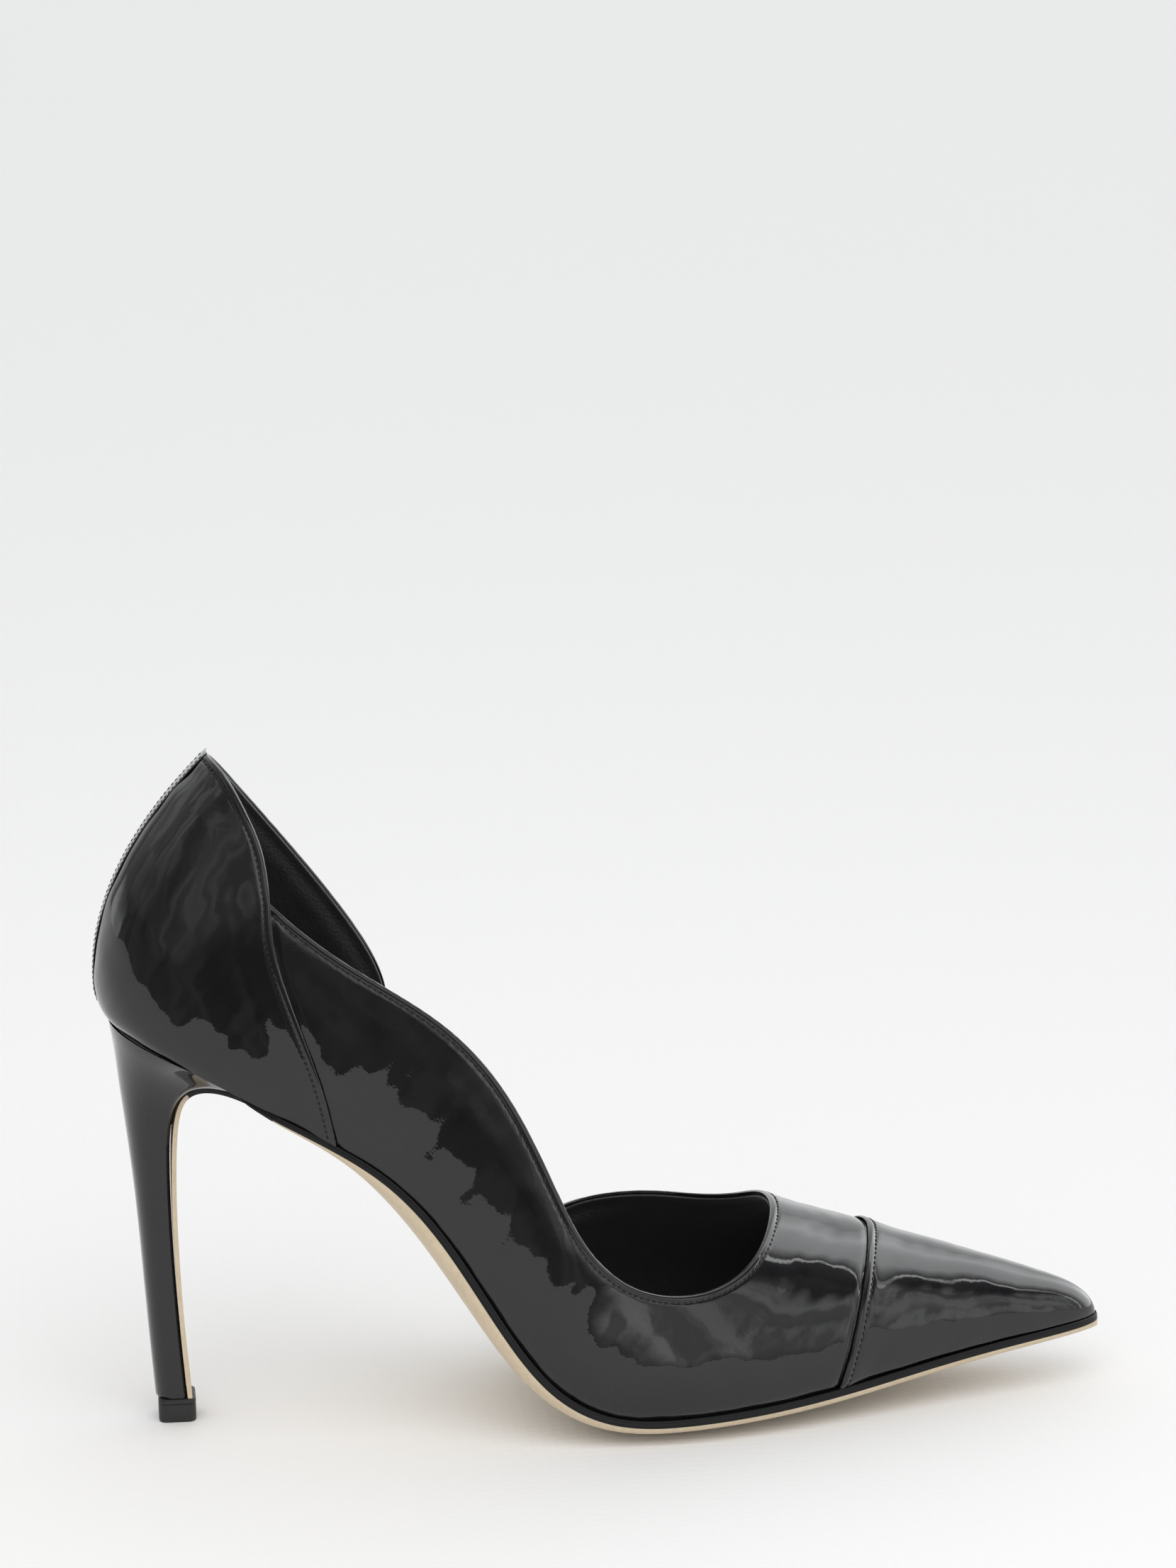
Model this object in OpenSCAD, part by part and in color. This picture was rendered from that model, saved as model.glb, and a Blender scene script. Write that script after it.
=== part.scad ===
// High heel pump with a pointed toe, a slim covered heel and a wavy half-open side.
// Right shoe. +X points to the toe, +Y to the inner side, +Z up.
// The origin is the centre of the top lift's ground face.

/* [Size] */
// Height of the heel at the back of the seat
heel_height = 100; // [92:1:106]
// Length from the back of the heel to the toe, measured along the floor
shoe_length = 236; // [228:1:246]
// Width of the upper across the ball of the foot
ball_width = 70; // [66:1:74]

/* [Leather] */
// Thickness of the patent leather
leather_t = 1.1; // [0.9:0.1:1.3]
// Thickness of the stiffeners between leather and lining
stiffener_t = 0.7; // [0.5:0.1:0.8]
// Thickness of the lining leather
lining_t = 0.7; // [0.6:0.1:0.9]
// Diameter of the sewing thread
thread_d = 0.5; // [0.4:0.1:0.7]

/* [Sole] */
// Height of the sole's painted edge
sole_edge = 1.9; // [1.5:0.1:2.4]
// Thickness of the insole board
board_t = 1.8; // [1.4:0.1:2.2]
// Thickness of the sock that covers the insole
sock_t = 0.8; // [0.6:0.1:1.2]
// Thickness of the cushion under the ball of the foot
cushion_t = 2.2; // [1.5:0.1:3]
// Thickness of the leather flap down the heel's breast
flap_t = 1.1; // [0.9:0.1:1.4]

/* [Heel] */
// Length of the top lift, front to back
lift_l = 8.8; // [8:0.1:10]
// Width of the top lift
lift_w = 9.4; // [8.5:0.1:11]
// Height of the top lift
lift_h = 5.8; // [5:0.1:7]
// Corner radius of the top lift
lift_r = 1.8; // [1:0.1:3]
// Thickness of the leather that covers the heel
cover_t = 0.7; // [0.5:0.1:0.9]
// Diameter of the steel pin inside the heel
pin_d = 3.6; // [3:0.1:4]

/* [Hidden] */

patent = "#17171a";
lining_black = "#242426";
board_brown = "#9c7b55";
steel = "#b4b7bb";
sole_beige = "#d9c8ab";
cork = "#b98d5c";
moulded = "#cfcabd";
rubber_black = "#1d1d1f";
thread_black = "#0c0c0e";

base_height = 100;
base_length = 236;
base_width = 70;
long = shoe_length / base_length;
wide = ball_width / base_width;
clear = 0.03;
shell_t = leather_t + stiffener_t;
wall_t = shell_t + clear + lining_t;

// Stations of the upper's outer skin from heel to toe, one row for each whole number of u:
// x and z of the feather edge, outer and inner half-width, height of the closed arch over the
// edge, forward lean for each millimetre of height, and share of the heel's bow.
stations = [
    [-15.0, 100.5, 0.0, 0.0, 86, 0.00, 1.00],
    [-10.0, 98.5, 14.5, 14.5, 86, 0.00, 1.00],
    [3.0, 93.2, 23.5, 23.5, 86, 0.05, 0.70],
    [20.0, 83.8, 25.5, 25.0, 84, 0.15, 0.30],
    [37.0, 74.0, 23.5, 21.5, 82, 0.25, 0.00],
    [51.0, 64.5, 22.5, 20.0, 80, 0.32, 0.00],
    [63.0, 51.0, 24.5, 22.5, 76, 0.34, 0.00],
    [74.0, 32.5, 29.0, 27.0, 74, 0.30, 0.00],
    [86.0, 14.0, 33.5, 31.5, 69, 0.22, 0.00],
    [101.0, 6.2, 36.0, 34.0, 60, 0.12, 0.00],
    [119.0, 6.4, 36.0, 34.0, 51, 0.05, 0.00],
    [137.0, 7.2, 32.5, 31.0, 42.5, 0.00, 0.00],
    [155.0, 8.6, 26.5, 25.5, 35, 0.00, 0.00],
    [172.0, 10.8, 20.2, 19.8, 27.8, 0.00, 0.00],
    [189.0, 13.0, 14.3, 14.1, 20, 0.00, 0.00],
    [206.0, 14.6, 9.3, 9.2, 12.8, 0.00, 0.00],
    [218.0, 15.5, 5.0, 5.0, 7, 0.00, 0.00],
    [222.5, 15.8, 0.0, 0.0, 0, 0.00, 0.00]];
u_tip = len(stations) - 1;
heel_mirror = [1, 1, -1, -1, 1, 1, 1];
toe_mirror = [1, 1, -1, -1, -1, 1, 1];
rows = concat([mirrored(stations[1], heel_mirror)], stations,
    [mirrored(stations[u_tip - 1], toe_mirror)]);
// Angle by which the walls tuck in under their widest line
tuck = 19;

// Edges of the upper pieces on the skin, as [u, share of the way down from the ridge]
outer_top = [[0, 0.46], [0.7, 0.46], [1.3, 0.47], [1.9, 0.5], [2.4, 0.54], [2.7, 0.62]];
counter_front = [[2.7, 0.62], [2.9, 0.7], [3.2, 0.77], [3.5, 0.84], [3.8, 0.91], [4.1, 1]];
inner_top = [[0, 0.46], [1, 0.48], [2, 0.52], [3, 0.57], [4, 0.66], [4.6, 0.74]];
inner_front = [[4.6, 0.74], [4.8, 0.86], [4.9, 1]];
// The vamp's top edge from the outer counter round the throat to the inner wing, as [u, s]
vamp_top = [[2.7, -0.62], [3.6, -0.66], [5, -0.67], [6.5, -0.64], [8, -0.64], [9.2, -0.63],
    [10, -0.6], [10.6, -0.52], [11, -0.38], [11.2, -0.2], [11.3, 0], [11.2, 0.2], [11, 0.36],
    [10.5, 0.46], [9.8, 0.51], [9, 0.6], [8.2, 0.74]];
wing_end = [[8.2, 0.74], [7.8, 0.86], [7.4, 1]];
// The vamp's steps along its edge at which its foot turns the corners of the toe seam
seam_first = 7;
seam_last = 13;
seam_u = 12;
seam_bulge = 0.6;

// Depth of the sole's middle under the feather edge, its hollow on top and its edge, at each u
sole_depth = [3, 3, 3, 2.4, 3.4, 6.9, 7.8, 7.2, 7.2, 6.75, 6.25, 6.2, 6, 5.5, 5.1, 4.4, 3.8, 3.4];
sole_hollow = [1.8, 1.8, 1.8, 1.3, 1.7, 1.9, 1.9, 1.9, 2, 2.4, 2.6, 2.4, 2.2, 1.8, 1.4, 1, 0.6, 0.3];
sole_side = [0.6, 0.6, 0.6, 0.6, 0.8, 0.9, 1, 1, 1, 1, 1, 1, 1, 1, 1, 0.95, 0.9, 0.8];
sole_first = 3.4;
sole_last = 16.95;
welt = 0.4;
// The flap's outer face down the heel's breast: x, z and half-width
flap_path = [[25, 78.3, 18.5], [20, 80.7, 15.5], [14.5, 82.8, 12.7], [9, 83.7, 10.5],
    [4.2, 82.2, 8.6], [2.2, 77, 7.6], [1.4, 68, 6.6], [1.1, 54, 5.7], [1.5, 38, 5.1],
    [2.4, 20, 4.6], [3.6, lift_h, 4.3]];

// Levels of the heel from the top lift to the seat: back x, front x, half-width, back z, front z
heel_levels = [[-5, 2.4, 4.6, lift_h, lift_h], [-6.2, 1.2, 4.8, 22, 22], [-7.3, 0.2, 5.3, 40, 40],
    [-8.5, -0.2, 6, 58, 57], [-10, 0, 7.2, 72, 70], [-11.3, 1, 9.2, 83, 78.5],
    [-12.2, 5, 13.5, 92, 85], [-13, 14, 18.5, 97, 86], [-13.4, 24, 21.5, 99.6, 82]];
seat_crown = 1.2;
breast_square = 0.3;
cover_from = -14;
cover_to = 194;

pin_low = 8;
pin_x = -1.2;
pin_len = 64;
pin_tilt = 2.1;
nail_d = 1.8;
nail_len = 9;
nail_head = 0.8;
nail_places = [[-5, -5], [-5, 5], [5, -8], [5, 8]];
screw_d = 4;
screw_len = 20;
screw_head_d = 7;
screw_head_h = 1.4;
screw_x = -0.5;
screw_top = 94.6;
lift_nail_d = 1.8;
shank_w = 9;
shank_t = 1.2;
rivet_d = 2.4;

// Splines and small helpers

function mirrored(row, signs) = [for (k = [0:len(row) - 1]) row[k] * signs[k]];
function mix(a, b, f) = a + (b - a) * f;
function unit(v) = v / max(norm(v), 1e-9);
function basis(f) = [pow(1 - f, 3), 3 * pow(f, 3) - 6 * pow(f, 2) + 4,
    -3 * pow(f, 3) + 3 * pow(f, 2) + 3 * f + 1, pow(f, 3)] / 6;
// Cubic spline through the neighbourhood of a list that already has its two end rows added
function spline_at(list, u) =
    let(i = max(0, min(floor(u), len(list) - 4)), w = basis(u - i))
    list[i] * w[0] + list[i + 1] * w[1] + list[i + 2] * w[2] + list[i + 3] * w[3];
// The same for a plain list, which starts and ends exactly on its first and last points
function with_ends(list) = let(n = len(list) - 1)
    concat([2 * list[0] - list[1]], list, [2 * list[n] - list[n - 1]]);
function along(list, f) = spline_at(with_ends(list), f * (len(list) - 1));
function steps(n, a = 0, b = 1) = [for (i = [0:n]) mix(a, b, i / n)];

// A taller heel lifts only what stands above the forepart
function lifted(z) = z + (heel_height - base_height) * max(0, min(1, (z - 20) / 80));

// The skin of the upper

function bow(h) = 0.0095 * (pow(h - 9, 2) - 81) - 2.4 * (1 - exp(-h / 3));
function skin(u, s) =
    let(r = spline_at(rows, max(0, min(u_tip, u))),
        a = (1 - abs(s)) * (90 + tuck) - tuck,
        h = r[4] * (sin(a) + sin(tuck)) / (1 + sin(tuck)),
        half = s < 0 ? -r[2] : r[3])
    [(r[0] + r[5] * h + r[6] * bow(h)) * long, half * cos(a) * wide, lifted(r[1] + h)];
function skin_normal(u, s) =
    let(du = 0.03, ds = 0.012, uc = max(0.001, min(u_tip - du, u)), sc = max(ds - 1, min(1 - ds, s)))
    unit(cross(skin(uc + du, sc) - skin(max(0, uc - du), sc), skin(uc, sc + ds) - skin(uc, sc - ds)));
// Near the tip the layers thin out, so that they never cross
function fade(u) = max(0.05, min(1, (u_tip - u) / 1.3));
function skin_layer(u, s, out) = skin(u, s) + skin_normal(u, s) * out * (out < 0 ? fade(u) : 1);

// A closed sheet between two layers of the skin, over a grid of [u, s] points
module sheet(grid, out, inner) {
    body_between([for (line = grid) [for (p = line) skin_layer(p[0], p[1], out)]],
        [for (line = grid) [for (p = line) skin_layer(p[0], p[1], inner)]]);
}

// A closed body between two grids of points of the same size
module body_between(top, bottom) {
    ni = len(top);
    nj = len(top[0]);
    n = ni * nj;
    points = concat([for (line = top) for (p = line) p], [for (line = bottom) for (p = line) p]);
    faces = concat(
        [for (i = [0:ni - 2]) for (j = [0:nj - 2]) each two_sided(i, j, nj, n)],
        [for (i = [0:ni - 2]) for (e = [0, nj - 1])
            each rim(i * nj + e, (i + 1) * nj + e, n, e == 0)],
        [for (j = [0:nj - 2]) for (e = [0, ni - 1])
            each rim(e * nj + j, e * nj + j + 1, n, e != 0)]);
    polyhedron(points, faces);
}
function two_sided(i, j, nj, n) =
    let(a = i * nj + j, b = a + 1, c = a + nj + 1, d = a + nj)
    [[a, b, c], [a, c, d], [n + a, n + c, n + b], [n + a, n + d, n + c]];
function rim(a, b, n, forward) = forward ? [[a, b, n + b], [a, n + b, n + a]]
    : [[b, a, n + a], [b, n + a, n + b]];

// A patch with four curved sides, each given as a function of 0 to 1
function patch(foot, top, first, last, f, g) =
    mix(foot(f), top(f), g) + mix(first(g), last(g), f)
    - mix(mix(foot(0), foot(1), f), mix(top(0), top(1), f), g);

// Pieces round the heel share one patch, whose first direction runs from the back forwards
function rear_grid(side, top_edge, front_edge, fs, gs) =
    let(top = function(f) along(top_edge, f),
        foot = function(f) [front_edge[len(front_edge) - 1][0] * f, 1],
        first = function(g) [0, mix(1, top_edge[0][1], g)],
        last = function(g) along(front_edge, 1 - g))
    [for (f = fs) [for (g = gs) let(p = patch(foot, top, first, last, f, g)) [p[0], side * p[1]]]];

// The vamp: its foot runs along the outer feather edge, the toe seam and the inner feather edge
function toe_seam(s) = seam_u + seam_bulge * (1 - pow(abs(s), 1.4));
function vamp_foot(t, front) =
    t < seam_first ? [mix(4.15, front(-1), t / seam_first), -1]
    : t < seam_last ? let(s = 2 * (t - seam_first) / (seam_last - seam_first) - 1) [front(s), s]
    : [mix(front(1), 7.4, (t - seam_last) / (len(vamp_top) - 1 - seam_last)), 1];
function vamp_grid(front, fs, gs) =
    let(n = len(vamp_top) - 1,
        top = function(f) along(vamp_top, f),
        foot = function(f) vamp_foot(f * n, front),
        first = function(g) let(p = along(counter_front, 1 - g)) [p[0], -p[1]],
        last = function(g) along(wing_end, 1 - g))
    [for (f = fs) [for (g = gs) patch(foot, top, first, last, f, g)]];

// Upper pieces

module toe_cap() {
    color(patent) sheet([for (f = steps(18)) [for (s = steps(20, -1, 1))
        [mix(toe_seam(s) + 0.008, u_tip - 0.05, 1 - pow(1 - f, 1.5)), s]]], 0, -leather_t);
}
module vamp() {
    color(patent) sheet(vamp_grid(function(s) toe_seam(s), steps(64, 0.001, 1), steps(11)), 0, -shell_t);
}
module outer_counter() {
    color(patent) sheet(rear_grid(-1, outer_top, counter_front, steps(22, 0.004, 0.998), steps(14)),
        0, -leather_t);
}
module inner_quarter() {
    color(patent) sheet(reversed(rear_grid(1, inner_top, inner_front, steps(24, 0.004, 1), steps(14))),
        0, -leather_t);
}
function reversed(grid) = [for (i = [len(grid) - 1:-1:0]) grid[i]];

// Round the back the sheets run from the outer side over the centre line to the inner side
function round_grid(outer_fs, inner_fs, gs) = concat(
    reversed(rear_grid(-1, outer_top, counter_front, outer_fs, gs)),
    rear_grid(1, inner_top, inner_front, inner_fs, gs));

module back_strip() {
    fs = [0.015, 0.032];
    color(patent) sheet(reversed(round_grid([0.004, each fs], fs, steps(24, 0.02, 0.985))), 0.6, clear);
}
module counter_stiffener() {
    color(board_brown) sheet(reversed(round_grid(steps(12, 0, 0.9), steps(12, 0.06, 0.8),
        steps(8, 0.01, 0.86))), -leather_t - clear, -shell_t);
}
module quarter_lining() {
    color(lining_black) sheet(reversed(round_grid(steps(13, 0, 0.998), steps(13, 0.04, 1),
        steps(8, 0.01, 1))), -shell_t - clear, -wall_t);
}
module toe_puff() {
    color(board_brown) sheet([for (f = steps(8)) [for (s = steps(12, -0.99, 0.99))
        [mix(toe_seam(s) + 0.1, 16.2, f), s]]], -leather_t - clear, -shell_t);
}
module vamp_lining() {
    color(lining_black) sheet(vamp_grid(function(s) 15.6, steps(46, 0.004, 1), steps(8, 0.01, 1)),
        -shell_t - clear, -wall_t);
}

// Threads lie on the skin along a line of [u, s] points

module thread(line) {
    places = [for (p = line) skin_layer(p[0], p[1], thread_d / 2 + clear)];
    n = len(line);
    sides = 4;
    points = [for (i = [0:n - 1])
        let(t = unit(places[min(n - 1, i + 1)] - places[max(0, i - 1)]),
            up = skin_normal(line[i][0], line[i][1]),
            side = unit(cross(t, up)))
        for (k = [0:sides - 1])
            places[i] + thread_d / 2 * (side * cos(360 * k / sides) + cross(side, t) * sin(360 * k / sides))];
    faces = concat(
        [for (i = [0:n - 2]) for (k = [0:sides - 1])
            let(a = i * sides + k, b = i * sides + (k + 1) % sides)
            each [[a, b + sides, a + sides], [a, b, b + sides]]],
        [[for (k = [sides - 1:-1:0]) k], [for (k = [0:sides - 1]) (n - 1) * sides + k]]);
    polyhedron(points, faces);
}
edge_row = 0.955;

module topline_thread() {
    color(thread_black) {
        thread([for (p = vamp_grid(function(s) toe_seam(s), steps(90, 0.01, 0.99), [edge_row])) p[0]]);
        thread([for (p = rear_grid(-1, outer_top, counter_front, steps(24, 0.06, 0.96), [0.965])) p[0]]);
        thread([for (p = rear_grid(1, inner_top, inner_front, steps(30, 0.06, 0.97), [0.965])) p[0]]);
    }
}
module cap_thread() {
    color(thread_black) thread([for (s = steps(40, -0.98, 0.98)) [toe_seam(s) + 0.13, s]]);
}
module counter_thread() {
    color(thread_black)
        thread([for (p = rear_grid(-1, outer_top, counter_front, [0.945], steps(36, 0.01, 0.9))[0]) p]);
}
module back_thread() {
    for (side = [-1, 1])
        color(thread_black)
            thread([for (p = rear_grid(side, outer_top, counter_front, [0.062], steps(30, 0.03, 0.93))[0]) p]);
}

// Sole, board, sock and cushion follow the feather edge from heel to toe

function foot_place(u) = let(r = spline_at(rows, u)) [r[0] * long, lifted(r[1])];
function foot_down(u) =
    let(e = 0.05, t = foot_place(min(u_tip, u + e)) - foot_place(max(0, u - e)))
    unit([t[1], -t[0]]);
function foot_half(u, side) =
    let(r = spline_at(rows, u)) (side < 0 ? r[2] : r[3]) * cos(tuck) * wide;
// Half-width inside the walls, measured square to the outline
function inside_half(u, side, inset) =
    let(e = 0.05, a = foot_half(u - e, side), b = foot_half(u + e, side),
        dx = foot_place(u + e)[0] - foot_place(u - e)[0])
    foot_half(u, side) - inset * norm([dx, b - a]) / dx;
function foot_point(u, y, depth) =
    let(p = foot_place(u), n = foot_down(u)) [p[0] + n[0] * depth, y, p[1] + n[1] * depth];
function hollow(u, y, half) = spline_at(with_ends(sole_hollow), u) * (1 - pow(y / half, 2));

// A layer inside the shoe between two depths, where depth is a function of u, y and half-width
module foot_layer(us, inset, upper, lower, across = 8) {
    grid = function(depth) [for (u = us) [for (f = steps(across, -1, 1))
        let(half = inside_half(u, f, inset), y = f * half)
        foot_point(u, y, depth(u, y, foot_half(u, f)))]];
    body_between(grid(upper), grid(lower));
}
board_us = [0.78, 0.9, 1.1, 1.4, 1.8, 2.2, each steps(22, 2.6, 15.2)];
function cushion_rise(u) = u < 8 || u > 14 ? 0 : cushion_t * pow(sin(180 * (u - 8) / 6), 0.5);

module insole_board() {
    color(board_brown) difference() {
        foot_layer(board_us, 3.4, function(u, y, w) -board_t, function(u, y, w) 0);
        fixings(0);
    }
}
module ball_cushion() {
    color("#55524e") foot_layer(steps(14, 8.25, 13.75), 6, function(u, y, w) -board_t - cushion_rise(u),
        function(u, y, w) -board_t - clear);
}
module sock() {
    top = function(u) board_t + clear + cushion_rise(u);
    color(lining_black) foot_layer(board_us, 3.6, function(u, y, w) -top(u) - sock_t,
        function(u, y, w) -top(u));
}
module bottom_filler() {
    color(cork) foot_layer(steps(14, 8.5, 15), 6, function(u, y, w) clear,
        function(u, y, w) hollow(u, y, w) - clear);
}
module shank_body(extra) {
    us = steps(16, 2, 8.2);
    grid = function(depth) [for (u = us) [for (y = [-shank_w / 2 - extra, 0, shank_w / 2 + extra])
        foot_point(u, y, depth)]];
    body_between(grid(clear - extra), grid(clear + shank_t + extra));
}
module shank() {
    color(steel) difference() {
        shank_body(0);
        fixings(0);
    }
}
module rivet(u) {
    p = foot_point(u, 0, 0);
    n = foot_down(u);
    color(steel) translate(p) rotate([0, atan2(n[0], n[1]), 0]) translate([0, 0, -board_t])
        cylinder(d = rivet_d, h = board_t + clear + shank_t, $fn = 24);
}
rivet_us = [4.2, 7.7];

// The sole's section: hollow on top, a straight painted edge, then a bevel into a rounded bottom
function sole_section(u, rings) =
    let(outer = foot_half(u, -1) + welt, inner = foot_half(u, 1) + welt,
        depth = spline_at(with_ends(sole_depth), u),
        side = sole_edge * spline_at(with_ends(sole_side), u),
        push = 0.9 * pow(max(0, u - 15) / 2, 2))
    [for (p = concat(
        [for (f = steps(rings, -1, 1)) let(w = f < 0 ? outer : inner) [f * w, hollow(u, f * w, w)]],
        [for (a = steps(rings, 0, 180)) [cos(a) * (a < 90 ? inner : outer),
            side + max(0.4, depth - side) * pow(sin(a), 0.75)]]))
        foot_point(u, p[0], p[1]) + [push, 0, 0]];

// A closed body through rings of points, every ring with the same number of points
module rings_body(rings) {
    m = len(rings[0]);
    n = len(rings);
    polyhedron([for (r = rings) for (p = r) p], concat(
        [for (i = [0:n - 2]) for (k = [0:m - 1])
            let(a = i * m + k, b = i * m + (k + 1) % m) each [[a, b, b + m], [a, b + m, a + m]]],
        [[for (k = [m - 1:-1:0]) k], [for (k = [0:m - 1]) (n - 1) * m + k]]));
}
module breast_flap() {
    n = 36;
    path = [for (f = steps(n)) along(flap_path, f)];
    grid = function(out) [for (i = [0:n])
        let(t = path[min(n, i + 1)] - path[max(0, i - 1)], nrm = unit([t[1], -t[0]]))
        [for (f = [-1, -0.5, 0, 0.5, 1])
            [(path[i][0] + nrm[0] * out) * long, f * path[i][2] * wide, lifted(path[i][1] + nrm[1] * out)]]];
    color(sole_beige) body_between(grid(0), grid(flap_t));
}
module outsole() {
    color(sole_beige) rings_body([for (u = concat(steps(40, sole_first, 14), steps(14, 14.25, sole_last)))
        sole_section(u, 12)]);
}

// Heel

// A point of the heel's skin: level 0 at the top lift to the last level at the seat, angle round it
function heel_point(level, a, inset) =
    let(r = spline_at(with_ends(heel_levels), level),
        back = r[0] + inset, front = r[1], half = r[2] - inset,
        mid = mix(r[0], r[1], 0.57),
        x = a < 0 || a > 180 ? mid + (front - mid) * pow(abs(sin(a)), breast_square)
            : mid - (mid - back) * sin(a),
        y = half * cos(a),
        f = (x - r[0]) / (r[1] - r[0]),
        z = mix(r[3], r[4], f) + seat_crown * sin(180 * max(0, min(1, f))) * pow(level / 8, 4))
    [x * long, y * wide, lifted(z)];
heel_top = len(heel_levels) - 1;

module heel_block(inset) {
    m = 32;
    rings_body([for (level = steps(22, heel_top, 0))
        [for (k = [0:m - 1]) heel_point(level, -90 + 360 * k / m, inset)]]);
}
module pin_place() {
    translate([pin_x, 0, pin_low]) rotate([0, -pin_tilt, 0]) children();
}
// Screw, nails and rivets, as solids and, a little larger, as their holes
module screw_body(extra) {
    z = lifted(screw_top);
    translate([screw_x, 0, z - screw_head_h - screw_len]) cylinder(d = screw_d + extra, h = screw_len, $fn = 32);
    translate([screw_x, 0, z - screw_head_h]) cylinder(d = screw_head_d + extra, h = screw_head_h, $fn = 32);
}
module fixings(extra) {
    screw_body(extra);
    nails_body(extra);
    for (u = rivet_us) rivet_hole(u);
}
module rivet_hole(u) {
    p = foot_point(u, 0, 0);
    n = foot_down(u);
    translate(p) rotate([0, atan2(n[0], n[1]), 0]) translate([0, 0, -board_t - 1])
        cylinder(d = rivet_d, h = board_t + shank_t + 2, $fn = 24);
}
module nails_body(extra) {
    for (p = nail_places)
        translate([p[0], p[1], seat_height(p[0]) + board_t - nail_len])
            cylinder(d = nail_d + extra, h = nail_len, $fn = 20);
}
function seat_height(x) = lifted(mix(98, 84, (x + 10) / 30));

module heel_core() {
    color(moulded) difference() {
        heel_block(cover_t + clear);
        pin_place() cylinder(d = pin_d, h = pin_len, $fn = 32);
        pin_place() translate([0, 0, -10]) cylinder(d = lift_nail_d, h = 12, $fn = 24);
        screw_body(0);
        nails_body(0);
        shank_body(0.05);
    }
}
module heel_cover() {
    n = 22;
    m = 24;
    grid = function(inset) [for (level = steps(n, 0, heel_top))
        [for (a = steps(m, cover_from, cover_to)) heel_point(level, a, inset)]];
    color(patent) body_between(grid(cover_t), grid(0));
}
module heel_pin() {
    color(steel) pin_place() difference() {
        cylinder(d = pin_d, h = pin_len, $fn = 32);
        translate([0, 0, -1]) cylinder(d = lift_nail_d, h = 10, $fn = 24);
    }
}
module heel_screw() {
    color(steel) screw_body(0);
}
module heel_nails() {
    color(steel) nails_body(0);
}
module lift_outline() {
    inner = [lift_l - 2 * lift_r, lift_w - 2 * lift_r];
    square([lift_l, inner[1]], center = true);
    square([inner[0], lift_w], center = true);
    for (x = [-1, 1], y = [-1, 1])
        translate([x * inner[0] / 2, y * inner[1] / 2]) circle(r = lift_r, $fn = 32);
}
module top_lift() {
    color(rubber_black) difference() {
        linear_extrude(lift_h) lift_outline();
        lift_nail_body();
    }
}
module lift_nail_body() {
    pin_place() translate([0, 0, 2.5 - pin_low]) cylinder(d = lift_nail_d, h = pin_low + 6, $fn = 24);
}
module lift_nail() {
    color(steel) lift_nail_body();
}
module shank_rivet_front() { rivet(rivet_us[1]); }
module shank_rivet_back() { rivet(rivet_us[0]); }

toe_cap();
vamp();
outer_counter();
inner_quarter();
back_strip();
toe_puff();
counter_stiffener();
vamp_lining();
quarter_lining();
sock();
ball_cushion();
insole_board();
shank();
shank_rivet_front();
shank_rivet_back();
bottom_filler();
outsole();
breast_flap();
heel_core();
heel_cover();
heel_pin();
heel_screw();
heel_nails();
top_lift();
lift_nail();
topline_thread();
cap_thread();
counter_thread();
back_thread();
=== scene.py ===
import math

import bmesh
import bpy
import numpy as np
from mathutils import Matrix, Vector


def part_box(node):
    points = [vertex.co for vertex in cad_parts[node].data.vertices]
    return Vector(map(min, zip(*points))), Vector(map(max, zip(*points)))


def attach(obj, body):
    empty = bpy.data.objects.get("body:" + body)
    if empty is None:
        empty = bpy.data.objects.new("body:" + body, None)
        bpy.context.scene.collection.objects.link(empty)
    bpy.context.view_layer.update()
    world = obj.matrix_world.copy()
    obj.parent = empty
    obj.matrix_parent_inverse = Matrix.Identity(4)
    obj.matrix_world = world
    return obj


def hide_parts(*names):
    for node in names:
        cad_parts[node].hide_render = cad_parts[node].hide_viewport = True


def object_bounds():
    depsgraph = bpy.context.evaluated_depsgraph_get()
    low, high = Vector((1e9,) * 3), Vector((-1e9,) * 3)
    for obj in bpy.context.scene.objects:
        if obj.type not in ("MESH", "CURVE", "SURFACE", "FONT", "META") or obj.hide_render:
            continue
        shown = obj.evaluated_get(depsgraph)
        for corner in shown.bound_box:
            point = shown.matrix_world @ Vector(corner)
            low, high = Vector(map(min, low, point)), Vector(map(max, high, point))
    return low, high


# High heel pump: the upper, sole and heel are built in millimetres on the same skin as the CAD
# model, and turned to metres when a mesh is made.

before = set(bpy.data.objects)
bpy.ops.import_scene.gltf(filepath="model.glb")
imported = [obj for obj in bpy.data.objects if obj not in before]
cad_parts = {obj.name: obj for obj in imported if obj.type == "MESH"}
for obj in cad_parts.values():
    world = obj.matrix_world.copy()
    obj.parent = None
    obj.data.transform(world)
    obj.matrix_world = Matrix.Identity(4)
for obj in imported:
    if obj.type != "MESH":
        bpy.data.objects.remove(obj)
cad_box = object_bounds()
MM = 0.001

# ---- Driving shapes, the same as the CAD model's ----

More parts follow.
